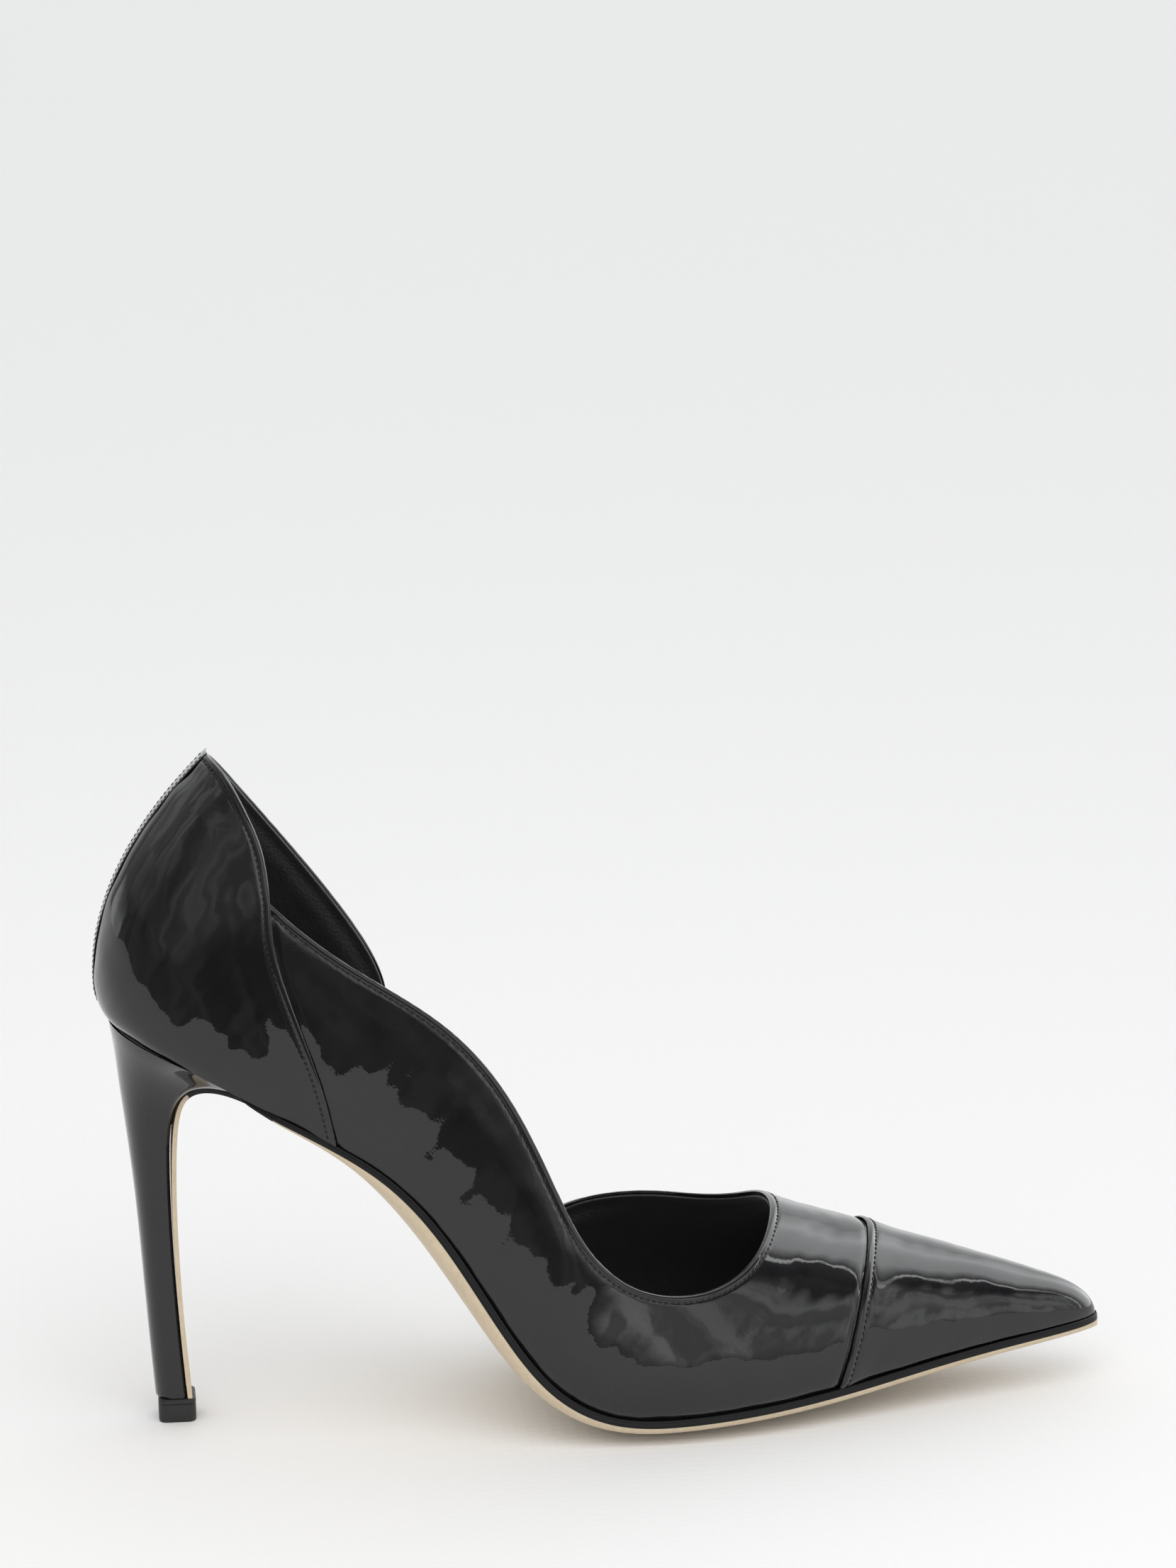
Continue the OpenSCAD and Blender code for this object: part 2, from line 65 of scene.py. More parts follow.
# Stations from heel to toe: x and z of the feather edge, outer and inner half-width, height of
# the closed arch, forward lean for each millimetre of height, share of the heel's bow
STATIONS = np.array([
    [-15.0, 100.5, 0.0, 0.0, 86, 0.00, 1.00],
    [-10.0, 98.5, 14.5, 14.5, 86, 0.00, 1.00],
    [3.0, 93.2, 23.5, 23.5, 86, 0.05, 0.70],
    [20.0, 83.8, 25.5, 25.0, 84, 0.15, 0.30],
    [37.0, 74.0, 23.5, 21.5, 82, 0.25, 0.00],
    [51.0, 64.5, 22.5, 20.0, 80, 0.32, 0.00],
    [63.0, 51.0, 24.5, 22.5, 76, 0.34, 0.00],
    [74.0, 32.5, 29.0, 27.0, 74, 0.30, 0.00],
    [86.0, 14.0, 33.5, 31.5, 69, 0.22, 0.00],
    [101.0, 6.2, 36.0, 34.0, 60, 0.12, 0.00],
    [119.0, 6.4, 36.0, 34.0, 51, 0.05, 0.00],
    [137.0, 7.2, 32.5, 31.0, 42.5, 0.00, 0.00],
    [155.0, 8.6, 26.5, 25.5, 35, 0.00, 0.00],
    [172.0, 10.8, 20.2, 19.8, 27.8, 0.00, 0.00],
    [189.0, 13.0, 14.3, 14.1, 20, 0.00, 0.00],
    [206.0, 14.6, 9.3, 9.2, 12.8, 0.00, 0.00],
    [218.0, 15.5, 5.0, 5.0, 7, 0.00, 0.00],
    [222.5, 15.8, 0.0, 0.0, 0, 0.00, 0.00]])
U_TIP = len(STATIONS) - 1
HEEL_MIRROR = [1, 1, -1, -1, 1, 1, 1]
TOE_MIRROR = [1, 1, -1, -1, -1, 1, 1]
ROWS = np.vstack([STATIONS[1] * HEEL_MIRROR, STATIONS, STATIONS[-2] * TOE_MIRROR])
TUCK = math.radians(19)

# Edges of the upper pieces on the skin, as [u, share of the way down from the ridge]
OUTER_TOP = [[0, 0.46], [0.7, 0.46], [1.3, 0.47], [1.9, 0.5], [2.4, 0.54], [2.7, 0.62]]
COUNTER_FRONT = [[2.7, 0.62], [2.9, 0.7], [3.2, 0.77], [3.5, 0.84], [3.8, 0.91], [4.1, 1]]
INNER_TOP = [[0, 0.46], [1, 0.48], [2, 0.52], [3, 0.57], [4, 0.66], [4.6, 0.74]]
INNER_FRONT = [[4.6, 0.74], [4.8, 0.86], [4.9, 1]]
VAMP_TOP = [[2.7, -0.62], [3.6, -0.66], [5, -0.67], [6.5, -0.64], [8, -0.64], [9.2, -0.63],
            [10, -0.6], [10.6, -0.52], [11, -0.38], [11.2, -0.2], [11.3, 0], [11.2, 0.2], [11, 0.36],
            [10.5, 0.46], [9.8, 0.51], [9, 0.6], [8.2, 0.74]]
WING_END = [[8.2, 0.74], [7.8, 0.86], [7.4, 1]]
SEAM_FIRST, SEAM_LAST = 7, 13
SEAM_U, SEAM_BULGE = 12, 0.6

# Depth of the sole's middle under the feather edge, its hollow on top and its edge, at each u
SOLE_DEPTH = [3, 3, 3, 2.4, 3.4, 6.9, 7.8, 7.2, 7.2, 6.75, 6.25, 6.2, 6, 5.5, 5.1, 4.4, 3.8, 3.4]
SOLE_HOLLOW = [1.8, 1.8, 1.8, 1.3, 1.7, 1.9, 1.9, 1.9, 2, 2.4, 2.6, 2.4, 2.2, 1.8, 1.4, 1, 0.6, 0.3]
SOLE_SIDE = [0.6, 0.6, 0.6, 0.6, 0.8, 0.9, 1, 1, 1, 1, 1, 1, 1, 1, 1, 0.95, 0.9, 0.8]
# Height of the sole's edge, the u where the sole starts and ends, and how far it stands out
SOLE_EDGE = 1.9
SOLE_FIRST, SOLE_LAST = 3.4, 16.95
WELT = 0.4
# Thickness of the flap, height of the top lift, and the flap's way down the breast: x, z, half-width
FLAP_T = 1.1
LIFT_H = 5.8
FLAP_PATH = [[25, 78.3, 18.5], [20, 80.7, 15.5], [14.5, 82.8, 12.7], [9, 83.7, 10.5],
             [4.2, 82.2, 8.6], [2.2, 77, 7.6], [1.4, 68, 6.6], [1.1, 54, 5.7], [1.5, 38, 5.1],
             [2.4, 20, 4.6], [3.6, LIFT_H, 4.3]]
# Levels of the heel from the top lift to the seat: back x, front x, half-width, back z, front z
HEEL_LEVELS = [[-5, 2.4, 4.6, LIFT_H, LIFT_H], [-6.2, 1.2, 4.8, 22, 22], [-7.3, 0.2, 5.3, 40, 40],
               [-8.5, -0.2, 6, 58, 57], [-10, 0, 7.2, 72, 70], [-11.3, 1, 9.2, 83, 78.5],
               [-12.2, 5, 13.5, 92, 85], [-13, 14, 18.5, 97, 86], [-13.4, 24, 21.5, 99.6, 82]]
HEEL_TOP = len(HEEL_LEVELS) - 1
SEAT_CROWN = 1.2
BOARD_T, SOCK_T, CUSHION_T = 1.8, 0.8, 2.2

# ---- Shapes of the visual model ----

# The sole runs back under the heel's lip and narrows there; the heel's cover wraps round to the breast
SOLE_BACK, SOLE_TUCK = 2.5, 3.0
# The sole is black from this far behind the flap's first point
LIP_BACK = 2.2
# Share of the heel, from its back, at which it is widest, and how square its breast is
HEEL_WIDEST, BREAST_SQUARE = 0.57, 0.18
# Angles round the heel between which the cover lies
COVER_FROM, COVER_TO = -50, 230

# Thicknesses, how far a lapped edge rises and fades, and the rows, pitch and length of stitches
LEATHER = 1.1
LINING_GAP = 0.12
STIFFENER_ROOM = 0.7
LINING = 0.75
FOLD = 0.55
LAP_RISE = 0.85
CAP_RISE = 0.65
LAP_FADE = 9.0
LAP_UNDER = 3.2
LAP_PRESS = 0.3
RIM_VALLEY = 0.3
STITCH_ROW = 1.7
STITCH_PITCH = 1.5
STITCH_LENGTH = 1.15
CAP_STITCH_ROW = 2.0
TURN_UNDER = 2.2


# ---- Splines ----

def spline_at(points, u):
    """Uniform cubic B-spline at u. The points already have an extra one at each end."""
    points = np.asarray(points, float)
    u = np.asarray(u, float)
    i = np.clip(np.floor(u).astype(int), 0, len(points) - 4)
    f = u - i
    if points.ndim > 1:
        f = f[..., None]
    weights = [(1 - f) ** 3, 3 * f ** 3 - 6 * f ** 2 + 4, -3 * f ** 3 + 3 * f ** 2 + 3 * f + 1, f ** 3]
    return sum(w * points[i + k] for k, w in enumerate(weights)) / 6


def with_ends(points):
    points = np.asarray(points, float)
    return np.concatenate([[2 * points[0] - points[1]], points, [2 * points[-1] - points[-2]]])


def along(points, f):
    return spline_at(with_ends(points), np.asarray(f, float) * (len(points) - 1))


def smooth(low, high, value):
    t = np.clip((value - low) / (high - low), 0, 1)
    return t * t * (3 - 2 * t)


def unit(v):
    return v / np.maximum(np.linalg.norm(v, axis=-1, keepdims=True), 1e-9)


def lengths(points):
    """Distance along a line of points, from its start."""
    gaps = np.linalg.norm(np.diff(points, axis=0), axis=-1)
    return np.concatenate([[0], np.cumsum(gaps)])


# ---- The upper's skin ----

def heel_bow(h):
    return 0.0095 * ((h - 9) ** 2 - 81) - 2.4 * (1 - np.exp(-h / 3))


def ball_lean(u, s, h):
    """Over the ball of the foot the outer wall leans in a little more than an arch would."""
    here = smooth(7.6, 8.7, u) * (1 - smooth(11.3, 12.6, u)) * (s < 0)
    return 1 - 0.065 * here * smooth(1, 27, h) * (1 - smooth(26, 58, h))


def skin(u, s):
    r = spline_at(ROWS, np.clip(u, 0, U_TIP))
    a = (1 - np.abs(s)) * (math.pi / 2 + TUCK) - TUCK
    h = r[..., 4] * (np.sin(a) + math.sin(TUCK)) / (1 + math.sin(TUCK))
    half = np.where(s < 0, -r[..., 2], r[..., 3]) * ball_lean(u, s, h)
    x = r[..., 0] + r[..., 5] * h + r[..., 6] * heel_bow(h)
    return np.stack([x, half * np.cos(a), r[..., 1] + h], -1)


def skin_normal(u, s):
    du, ds = 0.03, 0.012
    u = np.clip(u, 0.001, U_TIP - du)
    s = np.clip(s, ds - 1, 1 - ds)
    down = skin(u, s + ds) - skin(u, s - ds)
    return unit(np.cross(skin(u + du, s) - skin(np.maximum(0, u - du), s), down))


def unevenness(p):
    """Soft lumps of a lasted upper, in millimetres."""
    x, y, z = p[..., 0], p[..., 1], p[..., 2]
    waves = [(0.055, 0.33, 0.10, 0.24, 0.4), (0.045, -0.19, 0.31, 0.37, 2.1), (0.028, 0.52, -0.27, 0.46, 4.0),
             (0.018, 0.83, 0.45, -0.66, 1.3), (0.012, -0.98, 0.71, 0.93, 5.2)]
    return sum(a * np.sin(kx * x + ky * y + kz * z + phase) for a, kx, ky, kz, phase in waves)


def distance_to(path, points):
    """Distance from each point to a dense line of points, and how far along it the nearest one is."""
    flat = points.reshape(-1, 3)
    run = lengths(path)
    best = np.empty(len(flat))
    place = np.empty(len(flat))
    for start in range(0, len(flat), 4000):
        part = flat[start:start + 4000]
        squares = ((part[:, None, :] - path[None, :, :]) ** 2).sum(-1)
        nearest = squares.argmin(1)
        best[start:start + 4000] = np.sqrt(squares[np.arange(len(part)), nearest])
        place[start:start + 4000] = run[nearest]
    return best.reshape(points.shape[:-1]), place.reshape(points.shape[:-1])


def on_skin(curve, count=900, side=1):
    """A dense line of points on the skin along a curve of [u, s]."""
    p = along(curve, np.linspace(0, 1, count))
    return skin(p[:, 0], side * p[:, 1])


# ---- Meshes ----

def show(name, data):
    """Puts an object with this data into the scene."""
    piece = bpy.data.objects.new(name, data)
    bpy.context.scene.collection.objects.link(piece)
    return piece


def make_object(name, points, faces, material, sharp=None, second=()):
    """A mesh object from points in millimetres; coinciding points are joined. The faces numbered in
    second take the second material."""
    mesh = bpy.data.meshes.new(name)
    mesh.from_pydata((np.asarray(points) * MM).tolist(), [], faces)
    for number in second:
        mesh.polygons[number].material_index = 1
    work = bmesh.new()
    work.from_mesh(mesh)
    bmesh.ops.remove_doubles(work, verts=work.verts, dist=1e-7)
    bmesh.ops.dissolve_degenerate(work, dist=1e-7, edges=work.edges)
    bmesh.ops.recalc_face_normals(work, faces=work.faces)
    work.to_mesh(mesh)
    work.free()
    mesh.shade_smooth()
    if sharp:
        mesh.set_sharp_from_angle(angle=math.radians(sharp))
    mesh.materials.append(material)
    return show(name, mesh)


def join(piece, replaced):
    """Puts a piece on the shoe's one body, in place of a CAD node."""
    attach(piece, "root")
    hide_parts(replaced)


def grid_faces(rows, columns, start=0, closed=False):
    """Quads of a grid stored row by row; closed joins the last column to the first."""
    last = columns if closed else columns - 1
    return [(start + i * columns + j, start + i * columns + (j + 1) % columns,
             start + (i + 1) * columns + (j + 1) % columns, start + (i + 1) * columns + j)
            for i in range(rows - 1) for j in range(last)]


def shell(name, outer, inner, material, sharp=None):
    """A closed sheet between two grids of points."""
    rows, columns = outer.shape[:2]
    count = rows * columns
    faces = grid_faces(rows, columns) + [tuple(reversed(f)) for f in grid_faces(rows, columns, count)]
    border = [i * columns for i in range(rows)]
    border += [(rows - 1) * columns + j for j in range(1, columns)]
    border += [i * columns + columns - 1 for i in range(rows - 2, -1, -1)]
    border += [j for j in range(columns - 2, 0, -1)]
    for a, b in zip(border, border[1:] + border[:1]):
        faces.append((a, b, b + count, a + count))
    points = np.concatenate([outer.reshape(-1, 3), inner.reshape(-1, 3)])
    return make_object(name, points, faces, material, sharp)


def tube(name, rings, material, sharp=None, second_columns=()):
    """A closed body through rings of points. Faces that start at second_columns take its second
    material."""
    count, around = rings.shape[:2]
    faces = grid_faces(count, around, closed=True)
    faces += [tuple(range(around)), tuple((count - 1) * around + k for k in range(around - 1, -1, -1))]
    second = [i * around + j for i in range(count - 1) for j in second_columns]
    return make_object(name, rings.reshape(-1, 3), faces, material, sharp, second)


EDGE_ROWS = [0, 0.02, 0.07, 0.16, 0.28, 0.41, 0.55, 0.75, 0.95, 1.15, 1.35, 1.5, 1.65, 1.8, 1.95, 2.15,
             2.4, 2.8, 3.4, 4.2, 5.2, 6.6, 8.2]


def spread_rows(patch, fs, foot_rows, gap=1.7, samples=160):
    """u and s on a patch, in rows at fixed distances from its top edge and then evenly down to its
    foot. The last rows come closer together."""
    fine = np.linspace(1, 0, samples)
    f, g = np.meshgrid(fs, fine)
    places = patch(f, g)
    points = skin(places[..., 0], places[..., 1])
    gaps = np.linalg.norm(np.diff(points, axis=0), axis=-1)
    run = np.vstack([np.zeros(len(fs)), np.cumsum(gaps, axis=0)])
    longest = run[-1].max()
    body = max(4, int((longest - EDGE_ROWS[-1]) / gap))
    u = np.empty((len(EDGE_ROWS) + body + len(foot_rows), len(fs)))
    s = np.empty_like(u)
    for j in range(len(fs)):
        total = run[-1, j]
        squeeze = min(1, total / (EDGE_ROWS[-1] * 1.6 + foot_rows[0]))
        edge = np.array(EDGE_ROWS) * squeeze
        foot = total - np.array(foot_rows) * squeeze
        middle = np.linspace(edge[-1], foot[0], body + 2)[1:-1]
        wanted = np.concatenate([edge, middle, foot])
        place = np.interp(wanted, run[:, j], fine)
        found = patch(np.full(len(place), fs[j]), place)
        u[:, j], s[:, j] = found[:, 0], found[:, 1]
    return u, s


def fold_drop(distance, radius=FOLD):
    """How far the surface falls away towards a folded edge."""
    t = 1 - np.clip(distance / radius, 0, 1)
    return radius * (1 - np.sqrt(np.clip(1 - t * t, 0, 1)))


def stitch_relief(distance, place, row=STITCH_ROW, depth=0.2):
    """The valley that the stitches pull, its holes and the small roll between it and the edge."""
    beat = 0.62 + 0.38 * np.cos(2 * math.pi * place / STITCH_PITCH)
    valley = depth * np.exp(-((distance - row) / 0.34) ** 2) * beat
    roll = 0.07 * np.exp(-((distance - row * 0.5) / 0.45) ** 2)
    return roll - valley


# ---- Patches of the upper: a rim above, a foot below ----

def rear_patch(side, top_edge, front_edge):
    rim = top_edge + front_edge[1:]
    end_u = front_edge[-1][0]

    def patch(f, g):
        f, g = np.broadcast_arrays(np.asarray(f, float), np.asarray(g, float))
        top = along(rim, f)
        foot = np.stack([end_u * f, np.ones_like(f)], -1)
        place = foot + (top - foot) * g[..., None]
        return place * np.array([1, side])
    return patch


def toe_seam(s):
    return SEAM_U + SEAM_BULGE * (1 - np.abs(s) ** 1.4)


def vamp_patch(front):
    """front(s) gives u where the vamp ends under the toe cap."""
    rim = VAMP_TOP + WING_END[1:]
    total = len(rim) - 1
    back_low, back_high, wing_low = 4.15, 2.72, WING_END[-1][0]

    def foot_at(f):
        t = f * total
        outer = back_low + (front(-1) - back_low) * np.clip(t / SEAM_FIRST, 0, 1)
        s = np.clip(2 * (t - SEAM_FIRST) / (SEAM_LAST - SEAM_FIRST) - 1, -1, 1)
        inner = front(1) + (wing_low - front(1)) * np.clip((t - SEAM_LAST) / (total - SEAM_LAST), 0, 1)
        u = np.where(t < SEAM_FIRST, outer, np.where(t < SEAM_LAST, front(s), inner))
        return np.stack([u, s], -1)

    def patch(f, g):
        f, g = np.broadcast_arrays(np.asarray(f, float), np.asarray(g, float))
        top, foot = along(rim, f), foot_at(f)
        first = along(COUNTER_FRONT, 1 - g) * np.array([1, -1])
        last = np.array([wing_low, 1.0])
        f, g = f[..., None], g[..., None]
        corner_low, corner_high = np.array([back_low, -1.0]), np.array([back_high, -0.62])
        ruled = foot + (top - foot) * g
        across = first + (last - first) * f
        low, high = corner_low + (last - corner_low) * f, corner_high + (last - corner_high) * f
        return ruled + across - (low + (high - low) * g)
    return patch


def even_columns(patch, gap, first=0.0, last=1.0):
    """Values of f that are evenly spaced along a patch's rim."""
    f = np.linspace(first, last, 3000)
    p = patch(f, np.ones_like(f))
    run = lengths(skin(p[:, 0], p[:, 1]))
    count = int(run[-1] / gap)
    return np.interp(np.linspace(0, 1, count) * run[-1], run, f)


def foot_margin(outer, inner, u, s):
    """Adds rows in which the upper turns under the foot, inside the sole's edge."""
    side = np.sign(s[-1])
    down = foot_down(u[-1])
    inward = np.stack([np.zeros_like(side), -side, np.zeros_like(side)], -1)
    narrow = np.minimum(1, np.abs(outer[-1][:, 1:2]) / 6)
    turned = []
    for grid in (outer, inner):
        rows = [grid]
        for share in (0.35, 1.0):
            drop = down * 0.25 * share * TURN_UNDER
            rows.append((grid[-1] + inward * TURN_UNDER * share * narrow + drop)[None])
        turned.append(np.concatenate(rows))
    return turned


# ---- The foot: sole, board, sock ----

def foot_place(u):
    return spline_at(ROWS, u)[..., :2]


def foot_down(u):
    e = 0.05
    t = foot_place(np.minimum(U_TIP, u + e)) - foot_place(np.maximum(0, u - e))
    n = unit(np.stack([t[..., 1], -t[..., 0]], -1))
    return np.stack([n[..., 0], np.zeros_like(n[..., 0]), n[..., 1]], -1)


def foot_half(u, side):
    r = spline_at(ROWS, u)
    return np.where(side < 0, r[..., 2], r[..., 3]) * math.cos(TUCK)


def inside_half(u, side, inset):
    e = 0.05
    before, after = foot_half(u - e, side), foot_half(u + e, side)
    dx = foot_place(u + e)[..., 0] - foot_place(u - e)[..., 0]
    return foot_half(u, side) - inset * np.hypot(dx, after - before) / dx


def foot_point(u, y, depth):
    p, n = foot_place(u), foot_down(u)
    return np.stack([p[..., 0] + n[..., 0] * depth, y, p[..., 1] + n[..., 2] * depth], -1)


def cushion_rise(u):
    return np.where((u < 8) | (u > 14), 0, CUSHION_T * np.sqrt(np.abs(np.sin(math.pi * (u - 8) / 6))))


def hollow(u, y, half):
    return spline_at(with_ends(SOLE_HOLLOW), u) * (1 - (y / half) ** 2)


# ---- Materials ----

MIX_FACTOR, MIX_A, MIX_B, MIX_RESULT = 0, 6, 7, 2


def new_material(name, colour, roughness, **sockets):
    """A material, its tree and its shader. The sockets' names have _ for each space."""
    material = bpy.data.materials.new(name)
    material.use_nodes = True
    shader = material.node_tree.nodes["Principled BSDF"]
    shader.inputs["Base Color"].default_value = (*colour, 1)
    shader.inputs["Roughness"].default_value = roughness
    for socket, value in sockets.items():
        shader.inputs[socket.replace("_", " ")].default_value = value
    return material, material.node_tree, shader


def add(tree, kind, **values):
    node = tree.nodes.new(kind)
    for key, value in values.items():
        setattr(node, key, value)
    return node


def set_or_link(tree, socket, value):
    """Gives a socket a number, a colour or another node's output."""
    if isinstance(value, bpy.types.NodeSocket):
        tree.links.new(value, socket)
    elif isinstance(value, tuple):
        socket.default_value = (*value, 1)
    else:
        socket.default_value = value


def compute(tree, operation, *values):
    node = add(tree, "ShaderNodeMath", operation=operation)
    for socket, value in zip(node.inputs, values):
        set_or_link(tree, socket, value)
    return node.outputs[0]


def texture(tree, kind, coordinates, scale, **values):
    node = add(tree, kind, **values)
    node.inputs["Scale"].default_value = scale
    tree.links.new(coordinates, node.inputs["Vector"])
    return node


def noise(tree, coordinates, scale, detail=2.0, stretch=None):
    """A noise texture whose lumps are 1/scale metres apart; stretch scales each axis."""
    if stretch:
        mapping = add(tree, "ShaderNodeMapping")
        mapping.inputs["Scale"].default_value = stretch
        tree.links.new(coordinates, mapping.inputs["Vector"])
        coordinates = mapping.outputs["Vector"]
    node = texture(tree, "ShaderNodeTexNoise", coordinates, scale)
    node.inputs["Detail"].default_value = detail
    return node.outputs["Fac"]


def ramp(tree, value, *limits):
    """Maps the range between the first two limits to the range between the last two."""
    node = add(tree, "ShaderNodeMapRange")
    for socket, limit in zip(("From Min", "From Max", "To Min", "To Max"), limits):
        node.inputs[socket].default_value = limit
    tree.links.new(value, node.inputs["Value"])
    return node.outputs["Result"]


def colour_mix(tree, factor, first, second):
    node = add(tree, "ShaderNodeMix", data_type="RGBA")
    for number, value in ((MIX_FACTOR, factor), (MIX_A, first), (MIX_B, second)):
        set_or_link(tree, node.inputs[number], value)
    return node.outputs[MIX_RESULT]


def bump(tree, height, distance, strength=1.0, before=None):
    node = add(tree, "ShaderNodeBump")
    node.inputs["Strength"].default_value = strength
    node.inputs["Distance"].default_value = distance
    tree.links.new(height, node.inputs["Height"])
    if before:
        tree.links.new(before, node.inputs["Normal"])
    return node.outputs["Normal"]


def object_coordinates(tree):
    return add(tree, "ShaderNodeTexCoord").outputs["Object"]


def patent_material(name, lump=0.000015):
    black = (0.0048, 0.0048, 0.0056)
    material, tree, shader = new_material(name, black, 0.3, Specular_IOR_Level=0.12, Coat_Weight=1.0,
                                          Coat_Roughness=0.025, Coat_IOR=1.5)
    at = object_coordinates(tree)
    tree.links.new(ramp(tree, noise(tree, at, 90, 4), 0.35, 0.7, 0.22, 0.4), shader.inputs["Roughness"])
    dust = ramp(tree, noise(tree, at, 2600, 1), 0.76, 0.8, 0, 1)
    tree.links.new(colour_mix(tree, dust, black, (0.03, 0.03, 0.03)), shader.inputs["Base Color"])
    soft = bump(tree, noise(tree, at, 120, 2), lump * 2.4)
    peel = bump(tree, noise(tree, at, 420, 2), lump, before=soft)
    fine = bump(tree, noise(tree, at, 1500, 1), lump * 0.12, before=peel)
    tree.links.new(fine, shader.inputs["Coat Normal"])
    tree.links.new(peel, shader.inputs["Normal"])
    return material


def leather_material(name, dark, light, roughness, sheen=0.0):
    depth = 0.00003
    material, tree, shader = new_material(name, dark, roughness, Sheen_Weight=sheen)
    at = object_coordinates(tree)
    cells = texture(tree, "ShaderNodeTexVoronoi", at, 900, feature="DISTANCE_TO_EDGE")
    tree.links.new(colour_mix(tree, noise(tree, at, 60, 4), dark, light), shader.inputs["Base Color"])
    rough = ramp(tree, noise(tree, at, 200, 3), 0.3, 0.7, roughness - 0.06, roughness + 0.06)
    tree.links.new(rough, shader.inputs["Roughness"])
    grain = bump(tree, ramp(tree, cells.outputs["Distance"], 0, 0.25, 0, 1), depth)
    tree.links.new(bump(tree, noise(tree, at, 300, 3), depth * 1.5, before=grain), shader.inputs["Normal"])
    return material


def sole_material(name):
    dark, light = (0.50, 0.40, 0.27), (0.68, 0.57, 0.41)
    material, tree, shader = new_material(name, light, 0.42)
    at = object_coordinates(tree)
    streaks = noise(tree, at, 120, 5, (0.25, 1.6, 1.0))
    mottle = noise(tree, at, 700, 4)
    tone = compute(tree, "MULTIPLY_ADD", streaks, 0.6, ramp(tree, mottle, 0.3, 0.7, 0.1, 0.45))
    tree.links.new(colour_mix(tree, tone, dark, light), shader.inputs["Base Color"])
    tree.links.new(ramp(tree, mottle, 0.3, 0.7, 0.34, 0.5), shader.inputs["Roughness"])
    tree.links.new(bump(tree, mottle, 0.00002), shader.inputs["Normal"])
    return material


def plain_material(name, dark, light, roughness, scale, depth, stretch=None, **sockets):
    material, tree, shader = new_material(name, dark, roughness, **sockets)
    grain = noise(tree, object_coordinates(tree), scale, 4, stretch)
    tree.links.new(colour_mix(tree, grain, dark, light), shader.inputs["Base Color"])
    spread = min(0.08, roughness * 0.3)
    rough = ramp(tree, grain, 0.3, 0.7, roughness - spread, roughness + spread)
    tree.links.new(rough, shader.inputs["Roughness"])
    tree.links.new(bump(tree, grain, depth), shader.inputs["Normal"])
    return material


def thread_material(name):
    dark, light = (0.004, 0.004, 0.005), (0.014, 0.014, 0.017)
    material, tree, shader = new_material(name, light, 0.38, Specular_IOR_Level=0.3)
    twist = texture(tree, "ShaderNodeTexWave", object_coordinates(tree), 1500, bands_direction="DIAGONAL")
    fibre = twist.outputs["Fac"]
    tree.links.new(colour_mix(tree, fibre, dark, light), shader.inputs["Base Color"])
    tree.links.new(bump(tree, fibre, 0.00004), shader.inputs["Normal"])
    return material


def bind_edge(material):
    """Paints the faces that look sideways black, as on the insole board where the upper is cut away."""
    tree = material.node_tree
    colour = tree.nodes["Principled BSDF"].inputs["Base Color"]
    inside = colour.links[0].from_socket
    split = add(tree, "ShaderNodeSeparateXYZ")
    tree.links.new(add(tree, "ShaderNodeNewGeometry").outputs["Normal"], split.inputs[0])
    at_edge = ramp(tree, compute(tree, "ABSOLUTE", split.outputs["Y"]), 0.45, 0.6, 0, 1)
    tree.links.new(colour_mix(tree, at_edge, inside, (0.006, 0.006, 0.0065)), colour)


PATENT = patent_material("patent_black")
HEEL_PATENT = patent_material("heel_patent", lump=0.000008)
LINING_BLACK = leather_material("lining_black", (0.005, 0.005, 0.0055), (0.009, 0.009, 0.0098), 0.45, 0.15)
SOCK_BLACK = leather_material("sock_black", (0.02, 0.02, 0.019), (0.034, 0.033, 0.031), 0.38)
SOLE_BEIGE = sole_material("sole_beige")
EDGE_PAINT = plain_material("edge_paint", (0.0045, 0.0045, 0.005), (0.008, 0.008, 0.009), 0.32, 500, 0.00002,
                            Specular_IOR_Level=0.25)
RUBBER = plain_material("lift_rubber", (0.009, 0.009, 0.0095), (0.018, 0.018, 0.018), 0.5, 1600, 0.00003)
THREAD = thread_material("thread_black")
STEEL = plain_material("steel", (0.42, 0.43, 0.44), (0.62, 0.63, 0.64), 0.3, 200, 0.00001, (12, 1, 1),
                       Metallic=1.0)
PLASTIC = plain_material("heel_plastic", (0.52, 0.50, 0.45), (0.64, 0.62, 0.56), 0.45, 350, 0.00002)
BOARD_LOOK = (0.25, 0.17, 0.095), (0.42, 0.30, 0.18), 0.8, 700, 0.00005
BOARD = plain_material("board", *BOARD_LOOK)
FOAM = plain_material("foam", (0.07, 0.066, 0.06), (0.12, 0.115, 0.105), 0.85, 1400, 0.00008)
BOUND_BOARD = plain_material("bound_board", *BOARD_LOOK)
bind_edge(BOUND_BOARD)
CORK = plain_material("cork", (0.30, 0.19, 0.09), (0.56, 0.40, 0.23), 0.8, 600, 0.0001)


# ---- Upper pieces ----

class Panel:
    """A sheet of the upper on a patch, with its outer and inner layers in millimetres."""

    def __init__(self, patch, fs, foot_rows=(3.5, 2.4, 1.5, 0.9, 0.45, 0.15, 0.0)):
        self.u, self.s = spread_rows(patch, fs, foot_rows)
        self.base = skin(self.u, self.s)
        self.normal = skin_normal(self.u, self.s)

    def layer(self, offset):
        return self.base + self.normal * offset[..., None]


def foot_tuck(panel):
    """The upper draws in a little just above the sole's edge."""
    at_feather = 1 - smooth(0, 1, np.minimum(1, (1 - np.abs(panel.s)) / 0.03))
    return 0.35 * at_feather


def sample(row, run, place):
    """The vector of a row at a distance along it."""
    return np.array([np.interp(place, run, row[:, k]) for k in range(3)])


